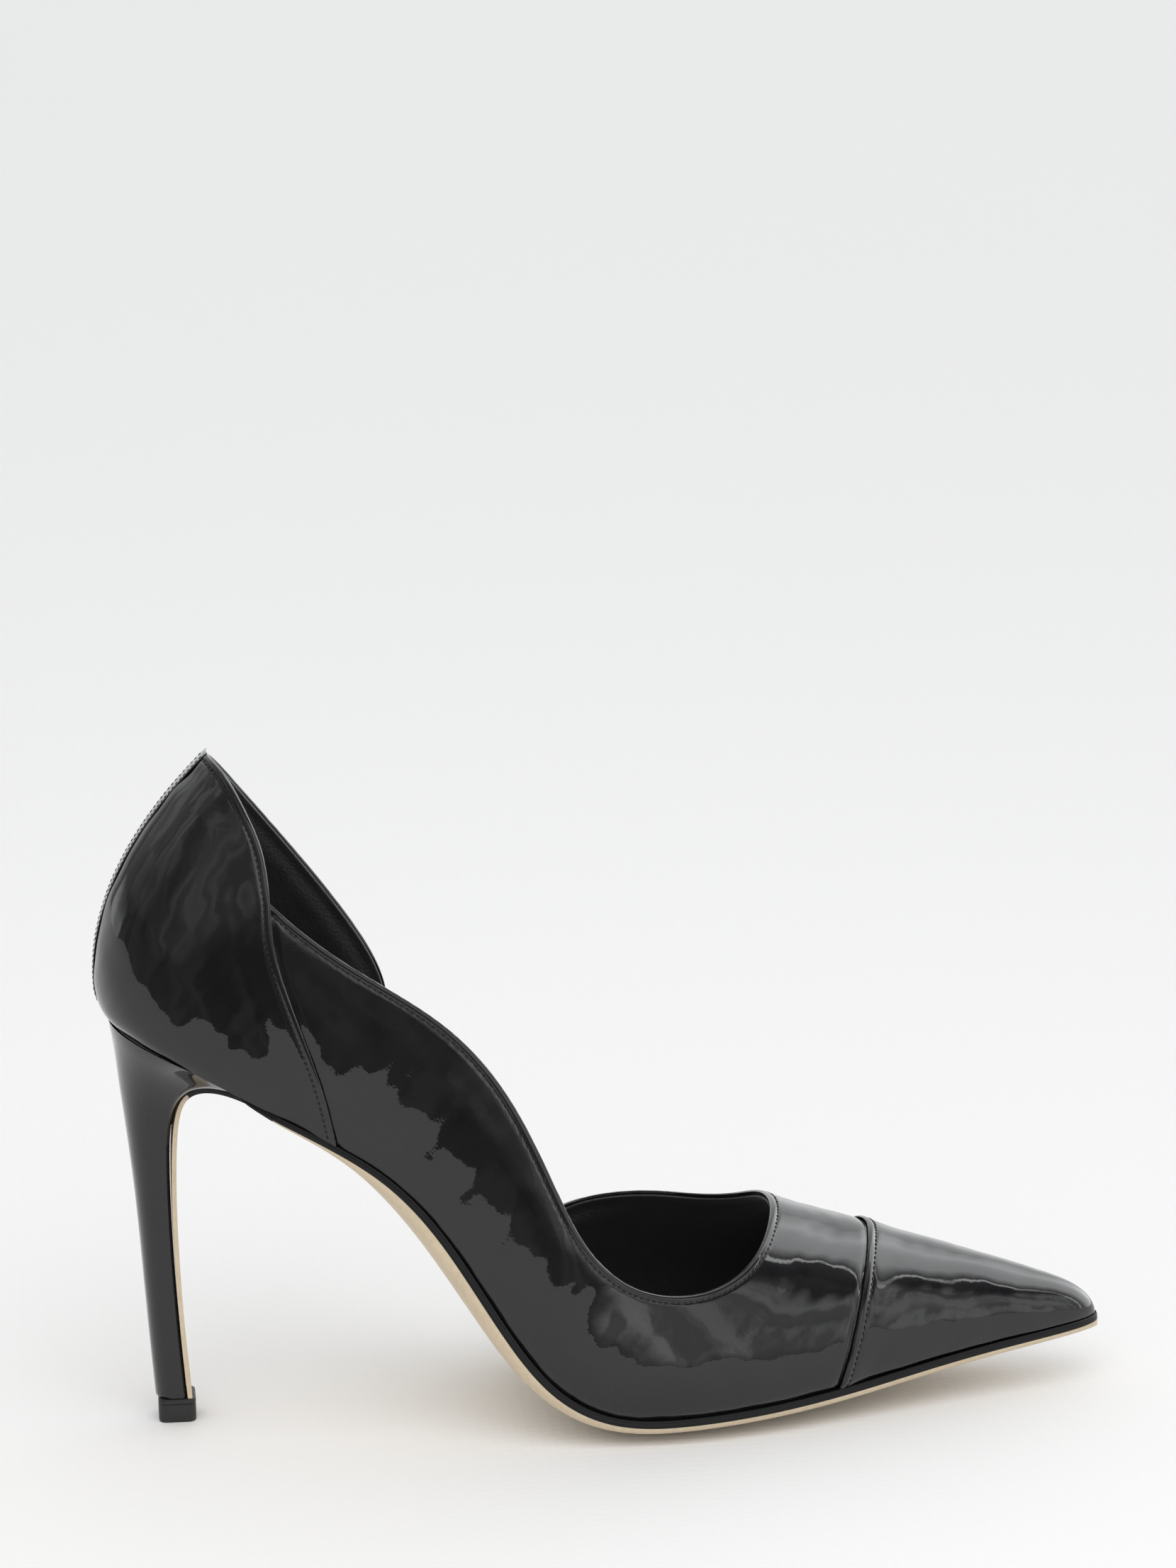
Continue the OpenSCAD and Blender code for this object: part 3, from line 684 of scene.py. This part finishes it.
def stitches_at(name, points, normals, replaced, length=STITCH_LENGTH, width=0.44, height=0.34,
                pitch=STITCH_PITCH):
    """Short sewn stitches, evenly spaced along lines of surface points."""
    rings, around, margin, reach = 7, 8, 0.6, 0.3
    along_stitch = np.linspace(-1, 1, rings)
    angles = np.linspace(0, 2 * math.pi, around, endpoint=False)
    swell = np.sqrt(np.maximum(0.0, 1 - np.abs(along_stitch) ** 3))
    bodies, faces = [], []
    count = 0
    for line, ups in zip(points, normals):
        run = lengths(line)
        for number, place in enumerate(np.arange(margin, run[-1] - margin, pitch)):
            t = unit(sample(line, run, place + reach) - sample(line, run, place - reach))
            side = unit(np.cross(unit(sample(ups, run, place)), t))
            up = np.cross(t, side)
            slant = 0.1 + 0.05 * math.sin(number * 2.4)
            cosine, sine = math.cos(slant), math.sin(slant)
            t, side = t * cosine + side * sine, side * cosine - t * sine
            ring = (sample(line, run, place)[None, None] + t * (along_stitch * length / 2)[:, None, None]
                    + side * (np.cos(angles)[None] * (swell * width / 2 + 0.01)[:, None])[..., None]
                    + up * (np.sin(angles)[None] * (swell * height / 2 + 0.01)[:, None])[..., None]
                    + up * (0.05 - 0.14 * along_stitch ** 4)[:, None, None])
            bodies.append(ring.reshape(-1, 3))
            faces += grid_faces(rings, around, count, closed=True)
            faces += [tuple(count + k for k in range(around)),
                      tuple(count + (rings - 1) * around + k for k in range(around - 1, -1, -1))]
            count += rings * around
    join(make_object(name, np.concatenate(bodies), faces, THREAD), replaced)


def line_at(panel, outer, distance, wanted):
    """The line on a panel's outer layer where a distance field first reaches a value."""
    points, ups = [], []
    for j in range(outer.shape[1]):
        column = distance[:, j]
        beyond = np.nonzero(column >= wanted)[0]
        if len(beyond) == 0 or beyond[0] == 0:
            continue
        k = beyond[0]
        share = (wanted - column[k - 1]) / (column[k] - column[k - 1])
        points.append(outer[k - 1, j] * (1 - share) + outer[k, j] * share)
        ups.append(panel.normal[k, j])
    return np.array(points), np.array(ups)


def finish_upper(name, outer, inner, replaced):
    join(shell(name, outer, inner, PATENT), replaced)


def fade_in(u):
    """Inner layers thin out near the tip, so that they never cross."""
    return np.clip((U_TIP - u) / 1.3, 0.05, 1)


# Outer counter: free above, lapped over the vamp in front
patch = rear_patch(-1, OUTER_TOP, COUNTER_FRONT)
panel = Panel(patch, even_columns(patch, 0.8, 0.004, 1.0))
rim, rim_place = distance_to(np.concatenate([on_skin(OUTER_TOP, side=-1), on_skin(COUNTER_FRONT, side=-1)]),
                             panel.base)
lap = distance_to(on_skin(COUNTER_FRONT, side=-1), panel.base)[0]
rise = LAP_RISE * (1 - smooth(0, LAP_FADE, lap))
offset = rise - fold_drop(rim) + stitch_relief(rim, rim_place) + unevenness(panel.base) * smooth(1, 9, rim)
offset -= RIM_VALLEY * np.exp(-((rim - 6) / 3) ** 2) * smooth(2, 20, lap)
offset -= foot_tuck(panel)
outer = panel.layer(offset)
under = 0.04 - (LEATHER + 0.04) * smooth(LAP_UNDER, LAP_FADE, lap)
inner_offset = np.minimum(under + fold_drop(rim) * 0.9, offset)
inner = panel.layer(inner_offset)
counter_line = line_at(panel, outer, rim, STITCH_ROW)
outer, inner = foot_margin(outer, inner, panel.u, panel.s)
finish_upper("outer_counter_leather", outer, inner, "outer_counter")

# Inner quarter: free above and in front, where the side is cut away
patch = rear_patch(1, INNER_TOP, INNER_FRONT)
panel = Panel(patch, even_columns(patch, 0.8, 0.004, 1.0))
rim, rim_place = distance_to(np.concatenate([on_skin(INNER_TOP), on_skin(INNER_FRONT)]), panel.base)
offset = unevenness(panel.base) * smooth(1, 9, rim) - fold_drop(rim) + stitch_relief(rim, rim_place)
offset -= foot_tuck(panel)
outer = panel.layer(offset)
inner = panel.layer(np.minimum(-LEATHER + fold_drop(rim) * 0.9, offset))
quarter_line = line_at(panel, outer, rim, STITCH_ROW)
outer, inner = foot_margin(outer, inner, panel.u, panel.s)
finish_upper("inner_quarter_leather", outer, inner, "inner_quarter")

# Vamp: free above, running on under the counter and under the toe cap
patch = vamp_patch(toe_seam)
columns = even_columns(patch, 1.0, 0.0, 0.9995)
panel = Panel(patch, columns)
rim_path = np.concatenate([on_skin(VAMP_TOP, 1600), on_skin(WING_END, 300)])
rim, rim_place = distance_to(rim_path, panel.base)
offset = unevenness(panel.base) * smooth(1, 9, rim) - fold_drop(rim) + stitch_relief(rim, rim_place)
offset -= foot_tuck(panel)
seam_s = np.linspace(-1, 1, 700)
seam_path = skin(toe_seam(seam_s), seam_s)
pressed = np.minimum(distance_to(on_skin(COUNTER_FRONT, side=-1), panel.base)[0],
                     distance_to(seam_path, panel.base)[0])
offset -= LAP_PRESS * np.exp(-(pressed / 1.1) ** 2)
outer = panel.layer(offset)
inner = panel.layer(np.minimum(-LEATHER * fade_in(panel.u) + fold_drop(rim) * 0.9, offset))
vamp_line = line_at(panel, outer, rim, STITCH_ROW)


def run_under(grid, panel, reach=3.0, sink=0.05):
    """Adds a column before the first, which goes on under the piece behind."""
    step = grid[:, 0] - grid[:, 1]
    size = np.linalg.norm(step, axis=-1, keepdims=True)
    extra = grid[:, 0] + step / np.maximum(size, 1e-6) * reach - panel.normal[:, 0] * sink
    return np.concatenate([extra[:, None], grid], axis=1)


outer, inner = run_under(outer, panel), run_under(inner, panel)
u_wide = np.concatenate([panel.u[:, :1], panel.u], axis=1)
s_wide = np.concatenate([panel.s[:, :1], panel.s], axis=1)
at_seam = np.abs(s_wide[-1]) < 0.995


def vamp_foot_rows(grid, depth):
    """Under the toe cap the vamp runs on along the skin; elsewhere it turns under the foot."""
    rows = [grid]
    for share in (0.4, 1.0):
        ahead_u = u_wide[-1] + 0.16 * share
        ahead = skin(ahead_u, s_wide[-1]) + skin_normal(ahead_u, s_wide[-1]) * (depth - 0.06)
        side = np.sign(s_wide[-1])
        none = np.zeros_like(side)
        turned = grid[-1] + np.stack([none, -side * TURN_UNDER * share, none], -1)
        turned = turned + foot_down(u_wide[-1]) * 0.55 * share
        rows.append(np.where(at_seam[:, None], ahead, turned)[None])
    return np.concatenate(rows)


outer, inner = vamp_foot_rows(outer, 0.0), vamp_foot_rows(inner, -LEATHER)
finish_upper("vamp_leather", outer, inner, "vamp")


# Toe cap: its rear edge laps over the vamp, its sides turn under the foot
def cap_patch(f, g):
    f, g = np.broadcast_arrays(np.asarray(f, float), np.asarray(g, float))
    s = 2 * f - 1
    start = toe_seam(s)
    u = start + (U_TIP - 0.02 - start) * (1 - g)
    return np.stack([u, s], -1)


even = np.linspace(0, 1, 129)
cap_fs = (1 - np.cos(even * math.pi)) / 2 * 0.35 + even * 0.65
panel = Panel(cap_patch, cap_fs, foot_rows=(2.0, 1.4, 0.9, 0.5, 0.25, 0.1, 0.0))
lap, lap_place = distance_to(seam_path, panel.base)
tip_fade = np.clip((U_TIP - panel.u) / 2.5, 0, 1)
rise = CAP_RISE * (1 - smooth(0, LAP_FADE, lap))
bead = 0.1 * np.exp(-((lap - 0.9) / 0.6) ** 2)
offset = rise - fold_drop(lap) + bead + stitch_relief(lap, lap_place, CAP_STITCH_ROW)
offset += unevenness(panel.base) * smooth(1, 9, lap) * tip_fade
offset -= foot_tuck(panel) * tip_fade
outer = panel.layer(offset)
under = 0.04 - (LEATHER + 0.04) * smooth(LAP_UNDER, LAP_FADE, lap)
under = np.where(under < 0, under * fade_in(panel.u), under)
inner = panel.layer(np.minimum(under + fold_drop(lap) * 0.9, offset))
cap_line = line_at(panel, outer, lap, CAP_STITCH_ROW)


def turn_sides(grid, panel):
    """Adds columns outside the first and last, which turn under the foot."""
    parts = [grid]
    for column, side in ((0, -1), (-1, 1)):
        reach = np.minimum(TURN_UNDER, np.abs(grid[:, column, 1:2]) * 0.5)
        inward = np.array([0.0, -side, 0.0]) * reach + foot_down(panel.u[:, column]) * 0.25 * reach
        turned = (grid[:, column] + inward)[:, None]
        parts = [turned] + parts if column == 0 else parts + [turned]
    return np.concatenate(parts, axis=1)


finish_upper("toe_cap_leather", turn_sides(outer, panel), turn_sides(inner, panel), "toe_cap")

# Back strip: over the seam at the back of the heel
strip_half, strip_fold, strip_thick = 2.5, 0.16, 0.2
half_across = np.array([0.17, 0.34, 0.5, 0.66, 0.8, 0.93, 0.985, 1])
strip_across = strip_half * np.concatenate([-half_across[::-1], [0], half_across])
strip_seams = (4, 12)
strip_down = np.linspace(0.459, 0.992, 110)


def back_u(s, reach):
    """u at which the skin is reach millimetres from the back's centre line."""
    fine = np.linspace(0, 0.6, 60)
    run = lengths(skin(fine, np.full(60, s)))
    return np.interp(reach, run, fine)


strip_u = np.array([[back_u(s, abs(a)) for a in strip_across] for s in strip_down])
strip_s = np.array([[math.copysign(s, a) if a else s for a in strip_across] for s in strip_down])
strip_base, strip_normal = skin(strip_u, strip_s), skin_normal(strip_u, strip_s)
from_edge = strip_half - np.abs(strip_across)[None] + 0 * strip_down[:, None]
strip_run = lengths(strip_base[:, len(strip_across) // 2])[:, None] + 0 * strip_across[None]
strip_rise = strip_thick - fold_drop(np.minimum(from_edge, strip_run), strip_fold)
strip_rise += stitch_relief(from_edge, strip_run, 1.0, 0.1) * 0.8
strip_rise -= 0.5 * smooth(strip_run.max() - 7, strip_run.max(), strip_run)
outer = strip_base + strip_normal * strip_rise[..., None]
inner = strip_base + strip_normal * (np.minimum(strip_rise, 0.05) - 0.1)[..., None]
finish_upper("back_strip_leather", outer, inner, "back_strip")
strip_lines = [outer[2:-3, column] for column in strip_seams]
strip_ups = [strip_normal[2:-3, column] for column in strip_seams]

stitches_at("topline_stitches", [vamp_line[0], quarter_line[0]], [vamp_line[1], quarter_line[1]],
            "topline_thread")
stitches_at("counter_stitches", [counter_line[0]], [counter_line[1]], "counter_thread")
stitches_at("cap_stitches", [cap_line[0]], [cap_line[1]], "cap_thread")
stitches_at("back_stitches", strip_lines, strip_ups, "back_thread", length=1.0, width=0.3, height=0.16,
            pitch=1.35)


# Linings: a little lower than the leather's folded edge
def across_centre(grid, reach):
    """Adds a column before the first, which reaches a little over the centre line."""
    extra = grid[:, :1].copy()
    extra[..., 1] = reach
    return np.concatenate([extra, grid], axis=1)


def lining_piece(name, patch, columns, replaced, overlap=0.0):
    u, s = spread_rows(patch, columns, (3.0, 1.5, 0.5, 0.0), gap=2.6)
    u, s = u[5:], s[5:]
    base, normal = skin(u, s), skin_normal(u, s)
    edge = distance_to(base[0], base)[0]
    thin = fade_in(u)
    depth = LEATHER + LINING_GAP + STIFFENER_ROOM * smooth(1.5, 5.5, edge)
    top = -depth * thin - fold_drop(edge, LINING / 2)
    bottom = -(depth + LINING) * thin + fold_drop(edge, LINING / 2)
    top = np.maximum(top, bottom)
    faces = [base + normal * top[..., None], base + normal * bottom[..., None]]
    if overlap:
        faces = [across_centre(face, overlap) for face in faces]
    join(shell(name, faces[0], faces[1], LINING_BLACK), replaced)


patch = vamp_patch(lambda s: 15.6 + 0 * s)
lining_piece("vamp_lining_leather", patch, even_columns(patch, 1.6, 0.0, 0.998), "vamp_lining")
for side_name, side, top_edge, front_edge in (("outer", -1, OUTER_TOP, COUNTER_FRONT),
                                              ("inner", 1, INNER_TOP, INNER_FRONT)):
    patch = rear_patch(side, top_edge, front_edge)
    columns = even_columns(patch, 1.4, 0.0, 0.997)
    lining_piece(f"quarter_lining_{side_name}", patch, columns, "quarter_lining", -0.5 * side)


# ---- Sock, outsole and breast flap ----

def sock_piece():
    us = np.concatenate([[0.78, 0.84, 0.92, 1.02, 1.15, 1.3, 1.5, 1.75], np.linspace(2, 15.2, 120)])
    across = np.sin(np.linspace(-1, 1, 41) * math.pi / 2)
    u, f = np.meshgrid(us, across, indexing="ij")
    half = inside_half(u, f, 2.3)
    y = f * half
    rise = BOARD_T + 0.03 + cushion_rise(u)
    edge = np.clip((1 - np.abs(f)) * half, 0, 1)
    cove = 0.9 * np.exp(-(1 - np.abs(f)) * half / 1.6)
    top = foot_point(u, y, -(rise + SOCK_T + cove - 0.25 * (1 - edge)))
    bottom = foot_point(u, y, -rise)
    join(shell("sock_leather", top, bottom, SOCK_BLACK), "sock")


def paint_faces(piece, chosen):
    """Gives the black edge paint to the faces for which chosen is true."""
    piece.data.materials.append(EDGE_PAINT)
    for face in piece.data.polygons:
        if chosen(face):
            face.material_index = 1


def sole_profile(u, count=26):
    """Rings of the outsole at u: the hollow top, the painted edge and the rounded bottom. Returns the
    rings and the columns whose faces are black."""
    full = smooth(SOLE_BACK, SOLE_FIRST, u)
    outer = foot_half(u, -1) + WELT - SOLE_TUCK * (1 - full)
    inner = foot_half(u, 1) + WELT - SOLE_TUCK * (1 - full)
    depth = spline_at(with_ends(SOLE_DEPTH), u)
    depth = depth * (0.12 + 0.88 * full)
    side = SOLE_EDGE * spline_at(with_ends(SOLE_SIDE), u)
    side = np.minimum(side, depth * 0.8)
    push = 0.5 * np.maximum(0, (u - 15) / 2) ** 2
    points = []
    for f in np.linspace(-1, 1, 13):
        w = outer if f < 0 else inner
        points.append((f * (w - 0.25), hollow(u, f * w, w)))
    edge_steps = [(0.1, 0.04), (0.0, 0.14), (0.0, 0.32), (0.07, 0.36), (0.07, 0.42), (0.0, 0.47), (0.0, 0.72),
                  (0.04, 0.92), (0.1, 1.0)]
    for inset, share in edge_steps:
        points.append((inner - inset, side * share))
    for a in np.linspace(3, 177, count):
        w = (inner if a < 90 else outer) - 0.12
        drop = side + np.maximum(0.4, depth - side) * math.sin(math.radians(a)) ** 0.75
        points.append((math.cos(math.radians(a)) * w, drop))
    for inset, share in reversed(edge_steps):
        points.append((-(outer - inset), side * share))
    rings = np.stack([foot_point(u, y + 0 * u, d) + np.stack([push, 0 * u, 0 * u], -1) for y, d in points], 1)
    tops, edges = 13, len(edge_steps)
    black = list(range(tops + edges - 1)) + list(range(tops + edges + count, len(points)))
    return rings, black


def outsole_piece():
    us = np.concatenate([np.linspace(SOLE_BACK, SOLE_FIRST, 12), np.linspace(SOLE_FIRST, 15, 150)[1:],
                         np.linspace(15, SOLE_LAST, 50)[1:]])
    rings, painted = sole_profile(us)
    piece = tube("outsole_leather", rings, SOLE_BEIGE, 38, painted)
    lip_x = (FLAP_PATH[0][0] - LIP_BACK) * MM
    paint_faces(piece, lambda face: face.center.x < lip_x)
    join(piece, "outsole")


def breast_flap_piece():
    count = 90
    path = along(FLAP_PATH, np.linspace(0, 1, count))
    ahead = path[np.minimum(count - 1, np.arange(count) + 1)] - path[np.maximum(0, np.arange(count) - 1)]
    n = unit(np.stack([ahead[:, 1], -ahead[:, 0]], -1))
    across = np.array([-1, -0.985, -0.94, -0.8, -0.5, -0.25, 0, 0.25, 0.5, 0.8, 0.94, 0.985, 1])

    def layer(out, crown):
        lift = out + crown * (1 - across[None] ** 2)
        x = path[:, 0:1] + n[:, 0:1] * lift
        z = path[:, 1:2] + n[:, 1:2] * lift
        y = across[None] * path[:, 2:3]
        return np.stack([x, y + 0 * x, z], -1)

    outer = layer(fold_drop((1 - np.abs(across))[None] * path[:, 2:3], 0.25), 0)
    piece = shell("breast_flap_leather", outer, layer(FLAP_T, 0), SOLE_BEIGE, sharp=40)
    edge_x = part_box("heel_cover")[1].x * 0.25
    paint_faces(piece, lambda face: face.center.x > edge_x and abs(face.normal.y) > 0.6)
    join(piece, "breast_flap")


# ---- Heel ----

def heel_point(level, a, inset):
    """A point of the heel's skin: level 0 at the top lift to the last level at the seat."""
    level, a = np.broadcast_arrays(np.asarray(level, float), np.asarray(a, float))
    r = spline_at(with_ends(HEEL_LEVELS), level)
    back, front, half = r[..., 0] + inset, r[..., 1], r[..., 2] - inset
    middle = r[..., 0] + (r[..., 1] - r[..., 0]) * HEEL_WIDEST
    sine = np.sin(np.radians(a))
    forward = (a < 0) | (a > 180)
    x = np.where(forward, middle + (front - middle) * np.abs(sine) ** BREAST_SQUARE,
                 middle - (middle - back) * sine)
    f = (x - r[..., 0]) / (r[..., 1] - r[..., 0])
    z = r[..., 3] + (r[..., 4] - r[..., 3]) * f
    z = z + SEAT_CROWN * np.sin(math.pi * np.clip(f, 0, 1)) * (level / HEEL_TOP) ** 4
    return np.stack([x, half * np.cos(np.radians(a)), z], -1)


def heel_cover_piece():
    levels = np.concatenate([[0, 0.012, 0.04, 0.09], np.linspace(0.2, HEEL_TOP - 0.15, 110),
                             [HEEL_TOP - 0.07, HEEL_TOP - 0.02, HEEL_TOP]])
    edge_angles = np.array([0, 0.35, 1.2, 2.4, 4])
    angles = np.concatenate([COVER_FROM + edge_angles, np.linspace(COVER_FROM + 6, COVER_TO - 6, 70),
                             COVER_TO - edge_angles[::-1]])
    level, angle = np.meshgrid(levels, angles, indexing="ij")
    rounding = fold_drop(np.minimum(np.abs(level), np.abs(HEEL_TOP - level) * 2) * 14, 0.3)
    from_edge = np.minimum(angle - COVER_FROM, COVER_TO - angle)
    rounding = np.maximum(rounding, fold_drop(from_edge * 0.18, 0.3))
    outer = heel_point(level, angle, rounding)
    piece = shell("heel_cover_leather", outer, heel_point(level, angle, 0.7), HEEL_PATENT, sharp=50)
    paint_faces(piece, lambda face: face.normal.x > 0.45 and face.center.z < 0.07)
    join(piece, "heel_cover")


def top_lift_piece():
    """The top lift: a rounded block with softened edges and a shallow joint line near the heel."""
    low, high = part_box("top_lift")
    size = np.array(high - low) / MM
    centre = (np.array(high + low) / 2) / MM
    corner = 1.8
    profile = [(-0.45, 0.0), (-0.18, 0.05), (-0.05, 0.18), (0.0, 0.5), (0.0, 3.9), (-0.02, 4.35),
               (-0.16, 4.45), (-0.16, 4.6), (0.0, 4.72), (0.0, 5.4), (-0.08, 5.62), (-0.3, 5.76), (-0.6, 5.8)]
    rings = []
    for grow, z in profile:
        ring = []
        for quarter, (sx, sy) in enumerate([(1, 1), (-1, 1), (-1, -1), (1, -1)]):
            for a in np.linspace(0, 90, 12):
                angle = math.radians(a + 90 * quarter)
                radius = max(0.4, corner + grow)
                cx, cy = size[0] / 2 - corner, size[1] / 2 - corner
                ring.append([centre[0] + sx * cx + radius * math.cos(angle),
                             centre[1] + sy * cy + radius * math.sin(angle), z * size[2] / LIFT_H])
        rings.append(ring)
    piece = tube("top_lift_rubber", np.array(rings), RUBBER, sharp=50)
    join(piece, "top_lift")


sock_piece()
outsole_piece()
breast_flap_piece()
heel_cover_piece()
top_lift_piece()


# Pieces that stay as the CAD has them, nearly all of them hidden in the shoe
CAD_MATERIALS = {
    "toe_puff": BOARD, "counter_stiffener": BOARD, "insole_board": BOUND_BOARD, "ball_cushion": FOAM,
    "shank": STEEL, "shank_rivet_front": STEEL, "shank_rivet_back": STEEL, "bottom_filler": CORK,
    "heel_core": PLASTIC, "heel_pin": STEEL, "heel_screw": STEEL, "heel_nails": STEEL, "lift_nail": STEEL}
for node_name, material in CAD_MATERIALS.items():
    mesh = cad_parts[node_name].data
    mesh.materials.clear()
    mesh.materials.append(material)


# ---- Stage, surroundings, lights and camera ----

def choose_shader(tree, factor, first, second):
    node = add(tree, "ShaderNodeMixShader")
    for socket, value in zip(node.inputs, (factor, first, second)):
        tree.links.new(value, socket)
    return node.outputs[0]


def floor():
    """A large pale floor at the height of the lowest point."""
    work = bmesh.new()
    reach = 9.0
    corners = [work.verts.new((x * reach, y * reach, cad_box[0].z)) for x, y in
               ((-1, -1), (1, -1), (1, 1), (-1, 1))]
    work.faces.new(corners)
    mesh = bpy.data.meshes.new("floor")
    work.to_mesh(mesh)
    work.free()
    material, tree, shader = new_material("floor_pale", (0.86, 0.855, 0.85), 0.75)
    at = object_coordinates(tree)
    waves = [texture(tree, "ShaderNodeTexWave", at, 110, bands_direction=axis) for axis in ("X", "Y")]
    weave = compute(tree, "MAXIMUM", *[wave.outputs["Fac"] for wave in waves])
    tree.links.new(bump(tree, weave, 0.0001, 0.5), shader.inputs["Normal"])
    # In the shoe's gloss the table ends a little way in front of the shoe
    place = add(tree, "ShaderNodeSeparateXYZ")
    tree.links.new(at, place.inputs[0])
    beyond = compute(tree, "LESS_THAN", place.outputs["Y"], TABLE_FRONT)
    glossy = add(tree, "ShaderNodeLightPath").outputs["Is Glossy Ray"]
    hidden = compute(tree, "MULTIPLY", beyond, glossy)
    clear = add(tree, "ShaderNodeBsdfTransparent")
    chosen = choose_shader(tree, hidden, shader.outputs[0], clear.outputs[0])
    tree.links.new(chosen, tree.nodes["Material Output"].inputs["Surface"])
    mesh.materials.append(material)
    show("floor", mesh)


# Bright fields round the shoe that only its gloss sees: azimuth from the camera's side towards the
# toe, elevation, half-width and half-height in degrees, softness, brightness, streaked or even
FIELDS = [
    (112, 26, 28, 56, 9, 3.0, False),
    (172, 20, 40, 60, 14, 1.1, False),
    (73, 12, 2, 60, 1, 4.0, True),
    (-108, 34, 44, 16, 10, 0.75, True),
    (-116, -3, 14, 10, 2.5, 1.1, True),
    (-20, 22, 34, 22, 6, 0.45, True),
    (32, 15, 38, 18, 4, 1.15, True),
    (0, 88, 180, 26, 12, 0.8, False)]
ROOM = 0.2
TABLE_FRONT = -0.27


def surroundings():
    world = bpy.data.worlds.new("surroundings")
    bpy.context.scene.world = world
    world.use_nodes = True
    tree = world.node_tree
    tree.nodes.clear()
    direction = add(tree, "ShaderNodeTexCoord").outputs["Generated"]
    split = add(tree, "ShaderNodeSeparateXYZ")
    tree.links.new(direction, split.inputs[0])
    elevation = compute(tree, "MULTIPLY", compute(tree, "ARCSINE", split.outputs["Z"]), 180 / math.pi)
    azimuth = compute(tree, "ARCTAN2", split.outputs["X"], compute(tree, "MULTIPLY", split.outputs["Y"], -1))
    azimuth = compute(tree, "MULTIPLY", azimuth, 180 / math.pi)
    streaks = ramp(tree, noise(tree, direction, 5.0, 3, (1.5, 1.5, 0.3)), 0.42, 0.58, 0.45, 1.15)
    gloss = ramp(tree, noise(tree, direction, 3.0, 2, (1.6, 1.6, 0.8)), 0.42, 0.62, ROOM * 0.3, ROOM)
    for middle, height, half_wide, half_high, soft, bright, streaked in FIELDS:
        turn = compute(tree, "WRAP", compute(tree, "SUBTRACT", azimuth, middle), 180, -180)
        turn = compute(tree, "ABSOLUTE", turn)
        rise = compute(tree, "ABSOLUTE", compute(tree, "SUBTRACT", elevation, height))
        inside = compute(tree, "MULTIPLY", ramp(tree, turn, half_wide + soft, half_wide - soft, 0, bright),
                           ramp(tree, rise, half_high + soft, half_high - soft, 0, 1))
        if streaked:
            inside = compute(tree, "MULTIPLY", inside, streaks)
        gloss = compute(tree, "ADD", gloss, inside)
    colour = (0.98, 0.99, 1.0)
    lit, mirrored = add(tree, "ShaderNodeBackground"), add(tree, "ShaderNodeBackground")
    for background, strength in ((lit, 0.92), (mirrored, gloss)):
        set_or_link(tree, background.inputs["Color"], colour)
        set_or_link(tree, background.inputs["Strength"], strength)
    glossy = add(tree, "ShaderNodeLightPath").outputs["Is Glossy Ray"]
    output = add(tree, "ShaderNodeOutputWorld")
    chosen = choose_shader(tree, glossy, lit.outputs[0], mirrored.outputs[0])
    tree.links.new(chosen, output.inputs["Surface"])


def top_light():
    data = bpy.data.lights.new("top_light", "AREA")
    data.shape = "SQUARE"
    data.size = 0.9
    data.energy = 3.2
    data.color = (1.0, 0.985, 0.965)
    light = show("top_light", data)
    place, aim = Vector((0.1, -0.5, 0.9)), Vector((0.1, -0.1, 0))
    light.location = place
    light.rotation_mode = "QUATERNION"
    light.rotation_quaternion = (aim - place).to_track_quat("-Z", "Y")
    light.visible_glossy = False


def camera():
    """At the height and distance of a table-top shot, level but for a small tilt and roll."""
    place = (-0.02105, -1.14414, 0.45481)
    turn, tilt, roll = math.radians(6), math.radians(14.77), math.radians(-0.45)
    forward = np.array([math.sin(turn) * math.cos(tilt), math.cos(turn) * math.cos(tilt), -math.sin(tilt)])
    right = np.array([math.cos(turn), -math.sin(turn), 0.0])
    down = np.cross(forward, right)
    x_axis = right * math.cos(roll) - down * math.sin(roll)
    y_axis = -(right * math.sin(roll) + down * math.cos(roll))
    data = bpy.data.cameras.new("camera")
    data.sensor_width = 36
    data.lens = 117.78
    data.clip_start, data.clip_end = 0.01, 50
    piece = show("camera", data)
    axes = np.stack([x_axis, y_axis, -forward], 1)
    matrix = np.eye(4)
    matrix[:3, :3] = axes
    matrix[:3, 3] = place
    piece.matrix_world = Matrix(matrix.tolist())
    bpy.context.scene.camera = piece


floor()
surroundings()
top_light()
camera()
bpy.context.scene.view_settings.view_transform = "Standard"

bpy.context.view_layer.update()
